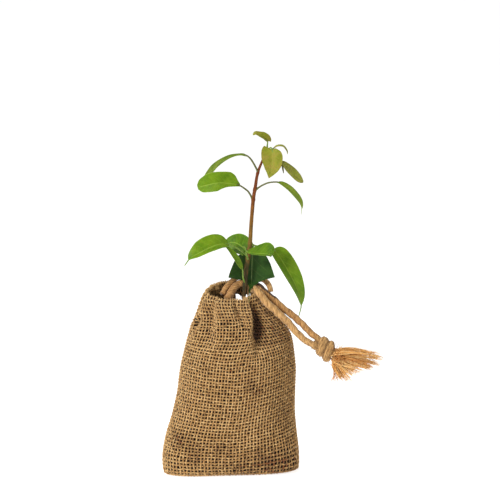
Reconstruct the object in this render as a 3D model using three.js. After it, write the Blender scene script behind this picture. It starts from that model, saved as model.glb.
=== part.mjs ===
// A young sapling standing on its root ball, in a small drawstring bag of woven jute.
// Millimetres, +Z up. The origin is the middle of the bag's flat underside, -Y is the front.
import * as THREE from 'three';

// ---------- driving dimensions ----------
const GAP = 0.3; // kept between two pieces that touch
const CLOTH = 1.8; // the bag's wall, with its folded hems
const SOIL_TOP = 119; // the flat top of the root ball
const BAG_TURN = 6; // degrees that the bag is turned about Z, left side forward
const FRONT_LIFT = 1.2; // how far the front bottom edge stands off the ground, right of the left third
const RIM_SAG = 2.5; // how far the rim hangs lower on the right, under the drawstring
const FOOT_POWER = 3.2; // the foot's outline: 2 is an oval, more is squarer
const FOOT_TOP = 45; // the height at which the square foot has turned into the oval pouch
const CORD = 4.2; // thickness of the jute drawstring
const LOOP_CORD = 3.6; // the same cord where it is pulled thin over the back of the mouth
const BLADE = 0.9; // thickness of a leaf blade's solid
const STALK_FOOT = 0.8; // radius of a leaf stalk at the stem
const STALK_END = 0.5; // radius of a leaf stalk at its blade

// The bag at rising heights: height, middle, half width, half depth, and how far the back stands higher
const BAG_ROWS = [
  [0, 0.3, 45, 15.5, 0],
  [1.1, 0, 48.8, 18.5, 0],
  [4.5, 0, 50, 20.5, 0],
  [16, -0.2, 50.1, 23, 0],
  [30, 0.3, 48.2, 25, 0],
  [46, 2, 45.3, 25.5, 0],
  [62, 3.9, 43.6, 25, 0],
  [78, 5.1, 42.8, 24, 0],
  [92, 5.9, 40.6, 22.5, 0],
  [103, 6.3, 38.2, 20.5, 0.2],
  [112, 4.9, 34.3, 18.5, 0.5],
  [120, 2.5, 28.1, 17, 1.2],
  [127, 0.4, 23.4, 15.4, 2.5],
  [133, -0.4, 20.3, 14.1, 3.8],
  [137.4, 0.2, 18.6, 13.4, 4.7],
];

// The gathers of the neck: angle at the rim and at the shoulder in degrees from the right seam,
// depth (negative stands proud), half width in degrees, and the height where it has run out
const GATHERS = [
  [-42, -71, 6.5, 9, 84],
  [-70, -82, 2.6, 9, 112],
  [-116, -116, -1.4, 16, 84],
  [-158, -158, 1.8, 10, 104],
  [18, 22, 3.4, 11, 96],
  [52, 52, 3.8, 12, 92],
  [88, 86, 4.2, 13, 88],
  [124, 122, 3.8, 12, 92],
  [158, 158, 3, 10, 98],
];
const SHOULDER = 105; // the height at which the second angle holds
const RIM = 137; // the height at which the first angle holds
const BACK_RISE = BAG_ROWS.at(-1)[4];
const RIM_EASE = 0.5; // the share of their depth that the gathers lose in the stiff hem at the rim

// The stem's axis from the soil to its tip, and its radius at the same points
const STEM_AXIS = [
  [8.6, 1, SOIL_TOP + GAP],
  [9.6, 1, 128],
  [10.4, 1, 141],
  [11.2, 1, 152],
  [14.1, 1, 171.5],
  [15, 1, 186.5],
  [16.4, 0.5, 204.8],
  [18, 0, 214.8],
  [19.9, 0, 225.5],
  [23, 0, 234.1],
  [26.6, 0, 244.5],
];
const STEM_RADII = [3.2, 2, 1.75, 1.7, 1.5, 1.4, 1.35, 1.25, 1.05, 0.85, 0.6];

// ---------- curves and skins ----------
const vector = (point) => new THREE.Vector3(...point);
const curveThrough = (points) => new THREE.CatmullRomCurve3(points.map(vector), false, 'catmullrom', 0.5);
const radians = THREE.MathUtils.degToRad;
const smoothstep = THREE.MathUtils.smoothstep;

// A table of rows, read smoothly at a share of its length
function rowAt(rows, share) {
  const at = share * (rows.length - 1);
  const i = Math.min(Math.floor(at), rows.length - 2);
  const row = (k) => rows[THREE.MathUtils.clamp(k, 0, rows.length - 1)];
  const t = at - i;
  return rows[0].map((_, c) => {
    const [p, q, r, s] = [row(i - 1)[c], row(i)[c], row(i + 1)[c], row(i + 2)[c]];
    return q + 0.5 * t * (r - p + t * (2 * p - 5 * q + 4 * r - s + t * (3 * (q - r) + s - p)));
  });
}

// One closed body from rings of equally many points: a band between each two rings, and a flat
// fan over the first and the last ring, or a last band back to the first when it is looped
function skin(rings, looped = false) {
  const sides = rings[0].length;
  const points = rings.flat();
  const faces = [];
  const bands = looped ? rings.length : rings.length - 1;
  for (let i = 0; i < bands; i++) {
    const next = (i + 1) % rings.length;
    for (let j = 0; j < sides; j++) {
      const k = (j + 1) % sides;
      const [a, b, c, d] = [i * sides + j, i * sides + k, next * sides + k, next * sides + j];
      faces.push([a, b, c], [a, c, d]);
    }
  }
  if (!looped) {
    for (const [ring, turned] of [[0, true], [rings.length - 1, false]]) {
      const middle = rings[ring].reduce((sum, p) => sum.add(p), new THREE.Vector3());
      points.push(middle.divideScalar(sides));
      for (let j = 0; j < sides; j++) {
        const edge = [ring * sides + j, ring * sides + (j + 1) % sides];
        faces.push([points.length - 1, ...(turned ? edge.reverse() : edge)]);
      }
    }
  }
  const volume = faces.reduce((sum, [a, b, c]) =>
    sum + points[a].dot(points[b].clone().cross(points[c])), 0);
  if (volume < 0) faces.forEach((face) => face.reverse());
  const geometry = new THREE.BufferGeometry();
  geometry.setAttribute('position', new THREE.Float32BufferAttribute(points.flatMap((p) => p.toArray()), 3));
  geometry.setIndex(faces.flat());
  geometry.computeVertexNormals();
  return geometry;
}

// A ring of points about a centre, across a direction
function ringAcross(centre, direction, radius, sides) {
  const aside = Math.abs(direction.y) < 0.8 ? new THREE.Vector3(0, 1, 0) : new THREE.Vector3(1, 0, 0);
  const across = direction.clone().cross(aside).normalize();
  const over = direction.clone().cross(across).normalize();
  return Array.from({ length: sides }, (_, j) => {
    const turn = (2 * Math.PI * j) / sides;
    return centre.clone()
      .addScaledVector(across, radius * Math.cos(turn))
      .addScaledVector(over, radius * Math.sin(turn));
  });
}

// A tapering limb along part of a curve, with its radius as a function of the share of the curve
function limb(curve, radiusAt, sides, steps, from = 0, to = 1) {
  const rings = [];
  for (let i = 0; i <= steps; i++) {
    const share = from + ((to - from) * i) / steps;
    rings.push(ringAcross(curve.getPoint(share), curve.getTangent(share), radiusAt(share), sides));
  }
  return skin(rings);
}

// ---------- the group ----------
const group = new THREE.Group();

function add(name, geometry, colour, roughness) {
  const material = new THREE.MeshStandardMaterial({ color: colour, roughness, metalness: 0 });
  const mesh = new THREE.Mesh(geometry, material);
  mesh.name = name;
  group.add(mesh);
}

const JUTE = '#b79660';
const STRING = '#b98f58';
const SOIL = '#3a2a1c';
const FLEECE = '#f2f0ea';
const BARK = '#7a4a1c';
const LEAF = '#6b9a1e';
const DARK_LEAF = '#1f4f1e';
const YOUNG_LEAF = '#96952b';

// ---------- the bag ----------
const BAG_SIDES = 40;
const BAG_STEPS = 19;

// How far the gathers press a place of the bag inwards
function gathered(angle, height) {
  return GATHERS.reduce((sum, [rimAngle, shoulderAngle, depth, halfWidth, end]) => {
    const rise = smoothstep(height, SHOULDER, RIM);
    const middle = rimAngle + (1 - rise) * (shoulderAngle - rimAngle);
    const off = THREE.MathUtils.euclideanModulo(angle - middle + 180, 360) - 180;
    const deep = smoothstep(height, end, end + 38) - RIM_EASE * smoothstep(height, RIM - 15, RIM);
    return sum + depth * Math.exp(-((off / halfWidth) ** 2)) * deep;
  }, 0);
}

// A place on the bag: an angle from the right seam, a share of its height, and a depth under its skin
function bagPoint(angle, share, inset = 0) {
  const [height, middle, halfWidth, halfDepth, backRise] = rowAt(BAG_ROWS, share);
  const [cos, sin] = [Math.cos(radians(angle)), Math.sin(radians(angle))];
  const square = 1 - smoothstep(height, 0, FOOT_TOP);
  const power = 2 + (FOOT_POWER - 2) * square;
  const corner = (Math.abs(cos) ** power + Math.abs(sin) ** power) ** (-1 / power);
  const deep = Math.sign(sin) * Math.abs(sin) ** (1.2 - 0.2 * square);
  const oval = vector([halfWidth * cos * corner, halfDepth * deep * corner, 0]);
  const outward = vector([cos / halfWidth, sin / halfDepth, 0]).normalize();
  const place = oval.addScaledVector(outward, -inset - gathered(angle, height));
  const x = place.x + middle;
  const lift = FRONT_LIFT * smoothstep(x, -30, 0) * (share > 0 && share < 0.2 ? 1 - share / 0.2 : 0);
  const sag = RIM_SAG * Math.max(cos, 0) * (backRise / BACK_RISE);
  return vector([x, place.y + x * Math.sin(radians(BAG_TURN)), height + backRise * sin - sag + lift]);
}

const bagRing = (share, inset = 0, level = null) =>
  Array.from({ length: BAG_SIDES }, (_, j) => {
    const point = bagPoint((360 * (j + 0.5)) / BAG_SIDES, share, inset);
    return level === null ? point : point.setZ(level);
  });

const SHARES = Array.from({ length: BAG_STEPS + 1 }, (_, i) => i / BAG_STEPS);
const INNER_SHARES = SHARES.filter((share) => rowAt(BAG_ROWS, share)[0] > 6);
const outside = SHARES.map((share) => bagRing(share));
const inside = INNER_SHARES.map((share) => bagRing(share, CLOTH)).reverse();
add('bag', skin([...outside, ...inside, bagRing(0, CLOTH, CLOTH)]), JUTE, 0.95);

// The root ball fills the bag up to the soil's flat top
const BALL_INSET = CLOTH + 1.7;
const BALL_SHARES = INNER_SHARES.filter((share) => rowAt(BAG_ROWS, share)[0] < SOIL_TOP - 4);
const TOP_SHARE = SHARES.find((share) => rowAt(BAG_ROWS, share)[0] > SOIL_TOP - 2);
add('root_ball', skin([
  bagRing(0, BALL_INSET, CLOTH + GAP),
  ...BALL_SHARES.map((share) => bagRing(share, BALL_INSET)),
  bagRing(TOP_SHARE, BALL_INSET + 1.5, SOIL_TOP),
]), SOIL, 1);

// ---------- the fleece gathered round the stem's foot ----------
const WRAP_MIDDLE = [9.4, 1.4];
const WRAP_RADIUS = 5.2;
const WRAP_HEIGHT = 14.5;
const WRAP_WAIST = 0.6;
const WRAP_WALL = 0.9;
const WRAP_SIDES = 24;

function wrapRing(level, radius) {
  return Array.from({ length: WRAP_SIDES }, (_, j) => {
    const turn = (2 * Math.PI * j) / WRAP_SIDES;
    const frill = 0.5 * Math.cos(7 * turn) * level;
    const top = WRAP_HEIGHT + 1.2 * Math.cos(turn) - 0.5 * Math.sin(3 * turn);
    return vector([
      WRAP_MIDDLE[0] + (radius + frill) * Math.cos(turn),
      WRAP_MIDDLE[1] + (radius + frill) * Math.sin(turn) * 0.9,
      SOIL_TOP + GAP + level * top,
    ]);
  });
}

add('root_wrap', skin([
  wrapRing(0, WRAP_RADIUS),
  wrapRing(0.5, WRAP_RADIUS - WRAP_WAIST),
  wrapRing(1, WRAP_RADIUS),
  wrapRing(1, WRAP_RADIUS - WRAP_WALL),
  wrapRing(0.5, WRAP_RADIUS - WRAP_WAIST - WRAP_WALL),
  wrapRing(0, WRAP_RADIUS - WRAP_WALL),
], true), FLEECE, 0.9);

// ---------- the stem ----------
const STEM_SIDES = 10;
const STEM_STEPS = 22;
const stemCurve = curveThrough(STEM_AXIS);
const stemRadius = (share) => rowAt(STEM_RADII.map((radius) => [radius]), share)[0];

// The foot and the flat cut are level; further up each ring lies across the stem
function stemRing(share) {
  const direction = share === 0 ? vector([0, 0, 1]) : stemCurve.getTangent(share);
  return ringAcross(stemCurve.getPoint(share), direction, stemRadius(share), STEM_SIDES);
}
add('stem', skin(Array.from({ length: STEM_STEPS + 1 }, (_, i) => stemRing(i / STEM_STEPS))), BARK, 0.7);

// How near a point is to the stem's axis, less the stem's radius there
function clearOfStem(point) {
  let nearest = Infinity;
  for (let i = 0; i <= 200; i++) {
    nearest = Math.min(nearest, point.distanceTo(stemCurve.getPoint(i / 200)) - stemRadius(i / 200));
  }
  return nearest;
}

// ---------- leaf stalks ----------
const STALK_SIDES = 6;
const STALK_STEPS = 6;

// A stalk runs from the stem's axis to its blade; it is cut off clear of the stem and of the blade
function stalk(name, points, colour) {
  const curve = curveThrough(points);
  const foot = (share) =>
    ringAcross(curve.getPoint(share), curve.getTangent(share), STALK_FOOT, STALK_SIDES);
  let from = 0;
  while (from < 0.9 && foot(from).some((point) => clearOfStem(point) < GAP)) from += 0.005;
  const to = 1 - (2.2 * GAP) / curve.getLength();
  const radiusAt = (share) => STALK_FOOT + share * (STALK_END - STALK_FOOT);
  add(`stalk_${name}`, limb(curve, radiusAt, STALK_SIDES, STALK_STEPS, from, to), colour, 0.6);
}

// ---------- leaf blades ----------
// A blade's outline: widest at a share of its length, rounder or slimmer by its power
const ovate = (widest, power) => (share) =>
  (share / widest) ** (widest * power) * ((1 - share) / (1 - widest)) ** ((1 - widest) * power);

// The old leaf's outline: broad shoulders low down, then two hollow edges to a long drip tip
const SHIELD = [[0, 0.05], [0.08, 0.2], [0.17, 0.6], [0.3, 0.78], [0.44, 0.92], [0.55, 1],
  [0.6, 0.6], [0.66, 0.28], [0.74, 0.1], [0.82, 0.05], [1, 0.03]];
const shield = (share) => {
  const i = Math.max(1, SHIELD.findIndex(([at]) => at >= share));
  const [[from, low], [to, high]] = [SHIELD[i - 1], SHIELD[i]];
  return low + ((high - low) * (share - from)) / (to - from);
};

// A leaf blade along its midrib. tilt says how far it leans back from facing the front, in degrees
// at its base and at its tip, below zero where the leaf points right; fold is how far each half is
// raised; lobe is how far the two rounded lobes reach back past the base
function leaf(name, { midrib, halfWidth, outline, tilt, fold, lobe = 0, steps = 11, colour = LEAF }) {
  const curve = curveThrough(midrib);
  const rings = [];
  for (let i = 0; i <= steps; i++) {
    const share = i / steps;
    const along = curve.getTangent(share);
    const front = vector([0, -1, 0]).addScaledVector(along, along.y).normalize();
    const level = along.clone().cross(front);
    const lean = radians(tilt[0] + share * (tilt[1] - tilt[0]));
    const side = level.clone().multiplyScalar(Math.cos(lean)).addScaledVector(front, -Math.sin(lean));
    const face = front.clone().multiplyScalar(Math.cos(lean)).addScaledVector(level, Math.sin(lean));
    const reach = Math.max(halfWidth * outline(share), 0.5);
    const thick = Math.min(BLADE, 0.5 + reach * 0.2) / 2;
    const raised = radians(fold);
    const back = i === 0 ? 0 : lobe * Math.max(0, 1 - share / 0.4) ** 2;
    // a point at a share of the half width on one side, on the upper or the lower face
    const point = (across, height) => curve.getPoint(share)
      .addScaledVector(side, across * reach * Math.cos(raised))
      .addScaledVector(face, Math.abs(across) * reach * Math.sin(raised) + height)
      .addScaledVector(along, -back * across * across);
    rings.push([
      point(1, 0), point(0.5, thick), point(0, thick), point(-0.5, thick),
      point(-1, 0), point(-0.5, -thick), point(0, -thick), point(0.5, -thick),
    ]);
  }
  add(`leaf_${name}`, skin(rings), colour, 0.5);
}

// The three long-stalked leaves of the upper and middle stem
leaf('upper_left', {
  midrib: [[11.9, 2, 238.1], [6.1, 4, 238.4], [-2.1, 8, 235.2], [-11, 12, 228.7],
    [-18.2, 15, 219.9], [-22.7, 16, 211.2]],
  halfWidth: 5.6, outline: ovate(0.42, 1.9), tilt: [84, 66], fold: 5,
});
stalk('upper_left', [[19.8, 0, 225.7], [17.1, 0, 232.1], [14.5, 1, 236], [11.9, 2, 238.1]], LEAF);
leaf('middle_left', {
  midrib: [[6.7, -3, 216.7], [-0.5, -6, 219.5], [-9, -10, 220.8], [-16, -14, 219.4],
    [-20.2, -15, 216.4], [-20, -11.5, 213.4]],
  halfWidth: 8.6, outline: ovate(0.42, 1.7), tilt: [35, 30], fold: 8,
});
stalk('middle_left', [[16.2, 0.5, 205.6], [13.3, -1, 211.2], [10.6, -2, 213.9], [6.7, -3, 216.7]], LEAF);
leaf('middle_right', {
  midrib: [[34, -2, 219.1], [38.3, -3, 217.6], [44.2, -5, 213.1], [49.7, -6, 207.3],
    [52.3, -6, 201.7], [52.3, -5, 196.2]],
  halfWidth: 5.2, outline: ovate(0.45, 1.8), tilt: [-72, -62], fold: 8,
});
stalk('middle_right', [[18.6, 0, 213.1], [23, -0.5, 216.3], [28.1, -1, 218.5], [34, -2, 219.1]], LEAF);

// The whorl of five leaves low on the stem, and a small leaf under it
leaf('lower_left', {
  midrib: [[-1.7, -4, 172.9], [-8.6, -8, 173.4], [-15.9, -12, 171.1], [-23.9, -15, 167.2],
    [-29.7, -16, 163.3], [-33.1, -16, 159.3]],
  halfWidth: 9, outline: ovate(0.4, 1.8), tilt: [50, 50], fold: 27,
});
stalk('lower_left', [[12.7, 1, 162.8], [7.9, -1, 167.3], [3.1, -2.5, 170.6], [-1.7, -4, 172.9]], LEAF);
leaf('lower_back', {
  midrib: [[10.6, 5.5, 168.4], [7.2, 10, 170], [3.4, 17, 170.4], [-1.2, 25, 168.8], [-6.3, 31, 165]],
  halfWidth: 7.5, outline: ovate(0.38, 1.8), tilt: [35, 45], fold: 10,
});
stalk('lower_back', [[13, 1, 163.2], [11.6, 3.6, 166.2], [10.6, 5.5, 168.4]], LEAF);
leaf('lower_small', {
  midrib: [[8.7, -4, 153.6], [6.4, -5.5, 158], [3.1, -7.5, 163.5], [-0.4, -9, 167.8], [-3.7, -9.5, 170.4]],
  halfWidth: 3.6, outline: ovate(0.45, 1.7), tilt: [50, 50], fold: 15, steps: 10,
});
stalk('lower_small', [[10.6, 1, 142.1], [9.1, -2, 147.2], [8.7, -4, 153.6]], LEAF);
leaf('lower_front', {
  midrib: [[11.2, -5, 167.3], [15.6, -9, 168.4], [21.5, -14, 170], [26.5, -19, 171.3],
    [29.4, -22, 170.3], [30.1, -23, 167.3]],
  halfWidth: 5.8, outline: ovate(0.5, 1.6), tilt: [-55, -50], fold: 15,
});
stalk('lower_front', [[12.7, 1, 160.3], [11.9, -3, 164.2], [11.2, -5, 167.3]], LEAF);
leaf('lower_right', {
  midrib: [[31.1, -5, 169.5], [35.7, -6, 163.7], [41.9, -8, 153.9], [46.8, -9, 144.8],
    [50.5, -9, 135], [51.6, -8, 127.3], [50.7, -7, 120.7]],
  halfWidth: 7.8, outline: ovate(0.42, 1.8), tilt: [-48, -50], fold: 28,
});
stalk('lower_right', [[14.1, 1, 172.6], [17.8, 2, 170.8], [24.5, 0, 169.4], [31.1, -5, 169.5]], LEAF);
leaf('dark_hanging', {
  midrib: [[15.8, 7, 168.6], [15.8, 7.6, 162.9], [15.6, 7, 155.3], [15.4, 5.6, 148],
    [15.3, 4.1, 142.9], [14.3, -3, 139.1], [13.6, -10, 137.2]],
  halfWidth: 17.5, outline: shield, tilt: [0, 0], fold: 6, steps: 20, colour: DARK_LEAF,
});
stalk('dark_hanging', [[14.1, 1, 172.6], [15.2, 4.5, 171.6], [15.8, 7, 168.6]], DARK_LEAF);

// The young leaves round the tip
leaf('young_heart', {
  midrib: [[30.5, -5, 243.8], [30.6, -6, 238.6], [30.4, -6.5, 232.8], [29.5, -6, 227.6], [28, -5, 222.3]],
  halfWidth: 7.8, outline: ovate(0.3, 1.5), tilt: [0, 0], fold: 10, lobe: 2.3, colour: YOUNG_LEAF,
});
stalk('young_heart', [[26.2, 0, 241.8], [27.8, -2.8, 243.6], [29.4, -4.4, 245.2], [30.5, -5, 243.8]],
  YOUNG_LEAF);
leaf('young_top', {
  midrib: [[27.1, 0, 248.9], [25.5, 0, 251.5], [22.2, -1, 253.8], [18.5, -2, 255.2], [16.3, -2, 254.1]],
  halfWidth: 3.8, outline: ovate(0.25, 1.5), tilt: [50, 60], fold: 10, lobe: 0.8, steps: 9,
  colour: YOUNG_LEAF,
});
stalk('young_top', [[26.6, 0, 244.2], [26.9, 0, 246.4], [27.1, 0, 248.9]], YOUNG_LEAF);
leaf('young_right', {
  midrib: [[37.3, 1, 234.4], [41.3, 1, 230], [46.1, 0, 225.3], [50.1, 0, 221.2], [53.6, 1, 218.5]],
  halfWidth: 4.4, outline: ovate(0.45, 1.5), tilt: [-50, -50], fold: 8, steps: 10, colour: YOUNG_LEAF,
});
stalk('young_right', [[25.1, 0, 240.8], [31, 2, 239.1], [37.3, 1, 234.4]], YOUNG_LEAF);
leaf('young_curled', {
  midrib: [[31, 3, 243.1], [33.2, 3, 244.9], [35.5, 3, 245.5], [38.8, 3, 245],
    [41.4, 2, 241.8], [42, 2, 239.2]],
  halfWidth: 1.9, outline: ovate(0.5, 1.4), tilt: [-86, -86], fold: 6, steps: 9, colour: YOUNG_LEAF,
});
stalk('young_curled', [[26.3, 0, 243], [28.5, 2, 242.6], [31, 3, 243.1]], YOUNG_LEAF);

// ---------- the drawstring ----------
// Each cord starts under the rim inside the mouth; the two long ones end in the knot
const FRONT_CORD = [[-2.6, -5.6, 132], [0.6, 1, 136.6], [4, 5.4, 140.4], [7.8, 6.3, 141.8],
  [11.4, 5.6, 140.4], [14.8, 4.4, 139.1], [18.2, 1, 137.9], [21.5, -2.7, 135.4], [27.5, -5.5, 128.2],
  [33.3, -5, 123], [38.6, -4, 118.1], [43.9, -3, 112.2], [48.4, -3, 106.5], [53.6, -3, 101.6],
  [60, -2.2, 97.6], [63.6, -1.6, 95.9]];
const BACK_CORD = [[16, 9, 140.7], [18.2, 8, 140.4], [20.8, 6.3, 139], [24, 4.6, 136.4],
  [28, 3.2, 132.9], [33.6, 1.8, 128.4], [41.4, 1.6, 121.6], [46.2, 1.6, 117.9], [50.7, 1.6, 113.7],
  [55.4, 1, 109.3], [60.6, 0.8, 104.2], [65.2, 0.5, 100.3]];
const LOOP = [[-6.4, -2.4, 135.2], [-3.8, 2, 138.8], [-0.4, 6.4, 142], [4, 10.4, 145], [11, 13.4, 146.4],
  [18, 13, 144.8], [23.9, 12, 143.4], [27.2, 10.6, 141.2], [28.9, 9, 138.2], [29.6, 8, 135]];

function cord(name, points, thickness, steps) {
  const section = new THREE.Shape().absarc(0, 0, thickness / 2, 0, 2 * Math.PI);
  const extruded = new THREE.ExtrudeGeometry(section, {
    extrudePath: curveThrough(points), steps, curveSegments: 4, bevelEnabled: false,
  });
  add(name, extruded, STRING, 0.95);
}
cord('drawstring_front', FRONT_CORD, CORD, 24);
cord('drawstring_back', BACK_CORD, CORD, 18);
cord('drawstring_loop', LOOP, LOOP_CORD, 16);

// ---------- the knot and its tassel ----------
const KNOT_MIDDLE = vector([70.2, 0, 92.6]);
const KNOT_LONG = 9.4; // half its length, across the cords
const KNOT_WIDE = 5.9; // half its width, along the cords
const KNOT_DEEP = 5.6; // half its depth
const KNOT_LEAN = 16; // degrees that its top leans left

// Rings stacked along the knot, drawn in a little round the waist between its two turns
function knotRing(step, steps) {
  const turn = Math.PI * (0.06 + (0.88 * step) / steps);
  const size = Math.sin(turn) * (1 - 0.08 * Math.exp(-(((step / steps - 0.45) / 0.12) ** 2)));
  return Array.from({ length: 14 }, (_, j) => {
    const angle = (2 * Math.PI * j) / 14;
    const [x, y] = [KNOT_WIDE * size * Math.cos(angle), KNOT_DEEP * size * Math.sin(angle)];
    return vector([x, y, KNOT_LONG * Math.cos(turn)])
      .applyAxisAngle(vector([0, 1, 0]), radians(-KNOT_LEAN))
      .add(KNOT_MIDDLE);
  });
}
add('knot', skin(Array.from({ length: 9 }, (_, i) => knotRing(i, 8))), STRING, 0.95);

// The frayed ends fan out from the knot: for each step the fan's upper and lower edge, and its depth
const FAN = [
  [[78, 94.2], [76.2, 85.6], 5],
  [[83.5, 94.6], [78.4, 79.6], 8],
  [[94.2, 95], [84, 71.4], 10],
  [[104.6, 92.2], [92, 71], 10],
  [[111, 87.6], [99.6, 75.4], 8],
];
add('tassel', skin(FAN.map(([upper, lower, depth]) =>
  Array.from({ length: 12 }, (_, j) => {
    const angle = (2 * Math.PI * j) / 12;
    const height = 0.5 + 0.5 * Math.cos(angle);
    const x = lower[0] + height * (upper[0] - lower[0]);
    const z = lower[1] + height * (upper[1] - lower[1]);
    return vector([x, (depth / 2) * Math.sin(angle), z]);
  }))), STRING, 0.95);

export default group;
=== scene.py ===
# %% [markdown]
# # A sapling standing in a small jute drawstring bag
# The real thing is a first-year seedling on its root ball, in a gathered pouch of coarse woven jute.
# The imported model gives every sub-part's true size and place. This lesson builds the surface that the
# eye sees around it: every yarn of the cloth, the string, the leaves and their veins.

# %% The frame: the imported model, and the tools used all through
import math

import bpy
import numpy as np
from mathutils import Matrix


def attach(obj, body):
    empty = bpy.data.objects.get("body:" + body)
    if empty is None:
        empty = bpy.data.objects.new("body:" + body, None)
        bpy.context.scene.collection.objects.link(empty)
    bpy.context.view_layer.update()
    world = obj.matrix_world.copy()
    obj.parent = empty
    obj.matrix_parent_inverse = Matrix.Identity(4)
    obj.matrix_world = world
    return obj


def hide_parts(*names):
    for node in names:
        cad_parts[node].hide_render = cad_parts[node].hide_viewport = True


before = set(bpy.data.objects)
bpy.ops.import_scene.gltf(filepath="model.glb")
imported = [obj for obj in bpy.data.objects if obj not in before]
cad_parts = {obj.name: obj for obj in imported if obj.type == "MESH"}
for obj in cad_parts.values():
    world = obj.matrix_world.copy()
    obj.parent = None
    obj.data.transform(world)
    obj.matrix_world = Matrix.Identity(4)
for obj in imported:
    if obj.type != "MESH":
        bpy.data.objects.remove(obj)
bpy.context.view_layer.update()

MM = 0.001

# %% [markdown]
# ## The camera
# A long lens from 2.6 m away looks down on the bag by ten degrees. A long lens keeps the uprights
# straight, as in a catalogue picture. The camera comes first, because the cords are tested against
# what it sees.

# %% Camera
SHOT_TARGET = (14.141, 0.0, 167.902)
SHOT_DISTANCE = 2600.0
SHOT_ELEVATION = 10.0
SHOT_LENS = 252.972


def place_camera():
    lens = bpy.data.cameras.new("camera")
    lens.sensor_width = 36.0
    lens.lens = SHOT_LENS
    camera = bpy.data.objects.new("camera", lens)
    tilt = math.radians(SHOT_ELEVATION)
    x, y, z = SHOT_TARGET
    away = SHOT_DISTANCE
    camera.location = (x * MM, (y - away * math.cos(tilt)) * MM, (z + away * math.sin(tilt)) * MM)
    camera.rotation_euler = (math.pi / 2 - tilt, 0.0, 0.0)
    bpy.context.scene.collection.objects.link(camera)
    bpy.context.scene.camera = camera
    return camera


print("camera at", [round(c, 3) for c in place_camera().location])

# %% Colour as on the sample card
bpy.context.scene.view_settings.view_transform = "Standard"
print("colours shown by the", bpy.context.scene.view_settings.view_transform, "transform")

# %% [markdown]
# ## Curves, tubes and meshes
# Almost everything here is a tube along a curve: yarns, string, stalks, stem, loose fibres. One function
# runs a smooth curve through given points, one carries a steady frame along it, and one skins
# whole bundles of tubes at once. Numpy arrays are used because a bag has thousands of yarn crossings.


# %% Curves
def unit(vectors):
    return vectors / np.maximum(np.linalg.norm(vectors, axis=-1, keepdims=True), 1e-12)


def smoothstep(x, low, high):
    t = np.clip((np.asarray(x, float) - low) / (high - low), 0, 1)
    return t * t * (3 - 2 * t)


def curve_through(points, shares):
    """A smooth curve through the points, read at shares of its length in points."""
    points = np.asarray(points, float)
    padded = np.vstack([2 * points[0] - points[1], points, 2 * points[-1] - points[-2]])
    at = np.clip(np.asarray(shares, float), 0, 1) * (len(points) - 1)
    i = np.minimum(at.astype(int), len(points) - 2)
    t = (at - i)[..., None]
    p, q, r, s = padded[i], padded[i + 1], padded[i + 2], padded[i + 3]
    return q + 0.5 * t * (r - p + t * (2 * p - 5 * q + 4 * r - s + t * (3 * (q - r) + s - p)))


def even_path(points, step):
    """Points at even steps along the smooth curve, and their distance from its start."""
    fine = curve_through(points, np.linspace(0, 1, 60 * len(points)))
    run = np.concatenate([[0], np.cumsum(np.linalg.norm(np.diff(fine, axis=0), axis=1))])
    count = max(3, int(round(run[-1] / step)) + 1)
    marks = np.linspace(0, run[-1], count)
    return np.stack([np.interp(marks, run, fine[:, c]) for c in range(3)], 1), marks


def carried_frame(path, first=(0.0, 1.0, 0.0)):
    """A side and an upper direction at each point, carried along without twisting."""
    along = unit(np.gradient(path, axis=0))
    side = np.zeros_like(path)
    last = np.cross(along[0], first)
    for i, direction in enumerate(along):
        last = last - direction * (last @ direction)
        last = last / np.linalg.norm(last)
        side[i] = last
    return side, np.cross(along, side)


print("a test curve of", len(even_path([(0, 0, 0), (10, 0, 0), (10, 10, 0)], 1.0)[0]), "points")


# %% Meshes
def mesh_piece(name, points, quads=None, caps=None, finishes=(), tones=None, places=None):
    """One mesh object in metres, from points in mm, four-sided faces and closing faces. tones gives each
    face one of the finishes, and places gives each point the coordinates that a finish reads."""
    groups = [g for g in (quads, caps) if g is not None and len(g)]
    loops = np.concatenate([g.reshape(-1) for g in groups])
    totals = np.concatenate([np.full(len(g), g.shape[1]) for g in groups])
    starts = np.concatenate([[0], np.cumsum(totals)[:-1]])
    mesh = bpy.data.meshes.new(name)
    mesh.vertices.add(len(points))
    mesh.vertices.foreach_set("co", (np.asarray(points, float) * MM).ravel())
    mesh.loops.add(len(loops))
    mesh.loops.foreach_set("vertex_index", loops.astype(np.int32))
    mesh.polygons.add(len(totals))
    mesh.polygons.foreach_set("loop_start", starts.astype(np.int32))
    mesh.polygons.foreach_set("loop_total", totals.astype(np.int32))
    mesh.polygons.foreach_set("use_smooth", np.ones(len(totals), bool))
    for finish in finishes:
        mesh.materials.append(finish)
    if tones is not None:
        mesh.polygons.foreach_set("material_index", np.asarray(tones, np.int32))
    mesh.update(calc_edges=True)
    if places is not None:
        kept = mesh.attributes.new("place", "FLOAT_VECTOR", "POINT")
        kept.data.foreach_set("vector", np.asarray(places, np.float32).ravel())
    piece = bpy.data.objects.new(name, mesh)
    bpy.context.scene.collection.objects.link(piece)
    return piece


print("one metre of mesh is", round(1 / MM), "mm of points")


# %% Tubes
def tube_faces(tubes, rings, sides, closed=False):
    """Faces of many tubes, each with as many rings and sides, whose points lie ring after ring."""
    bands = rings if closed else rings - 1
    ring = np.arange(bands)[:, None]
    side = np.arange(sides)[None, :]
    after, turn = (ring + 1) % rings, (side + 1) % sides
    corners = [ring * sides + side, ring * sides + turn, after * sides + turn, after * sides + side]
    one = np.stack(corners, -1).reshape(-1, 4)
    offset = (np.arange(tubes) * rings * sides)[:, None, None]
    quads = (one[None] + offset).reshape(-1, 4)
    if closed:
        return quads, None
    first = np.arange(sides)[::-1]
    last = (rings - 1) * sides + np.arange(sides)
    return quads, (np.stack([first, last])[None] + offset).reshape(-1, sides)


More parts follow.
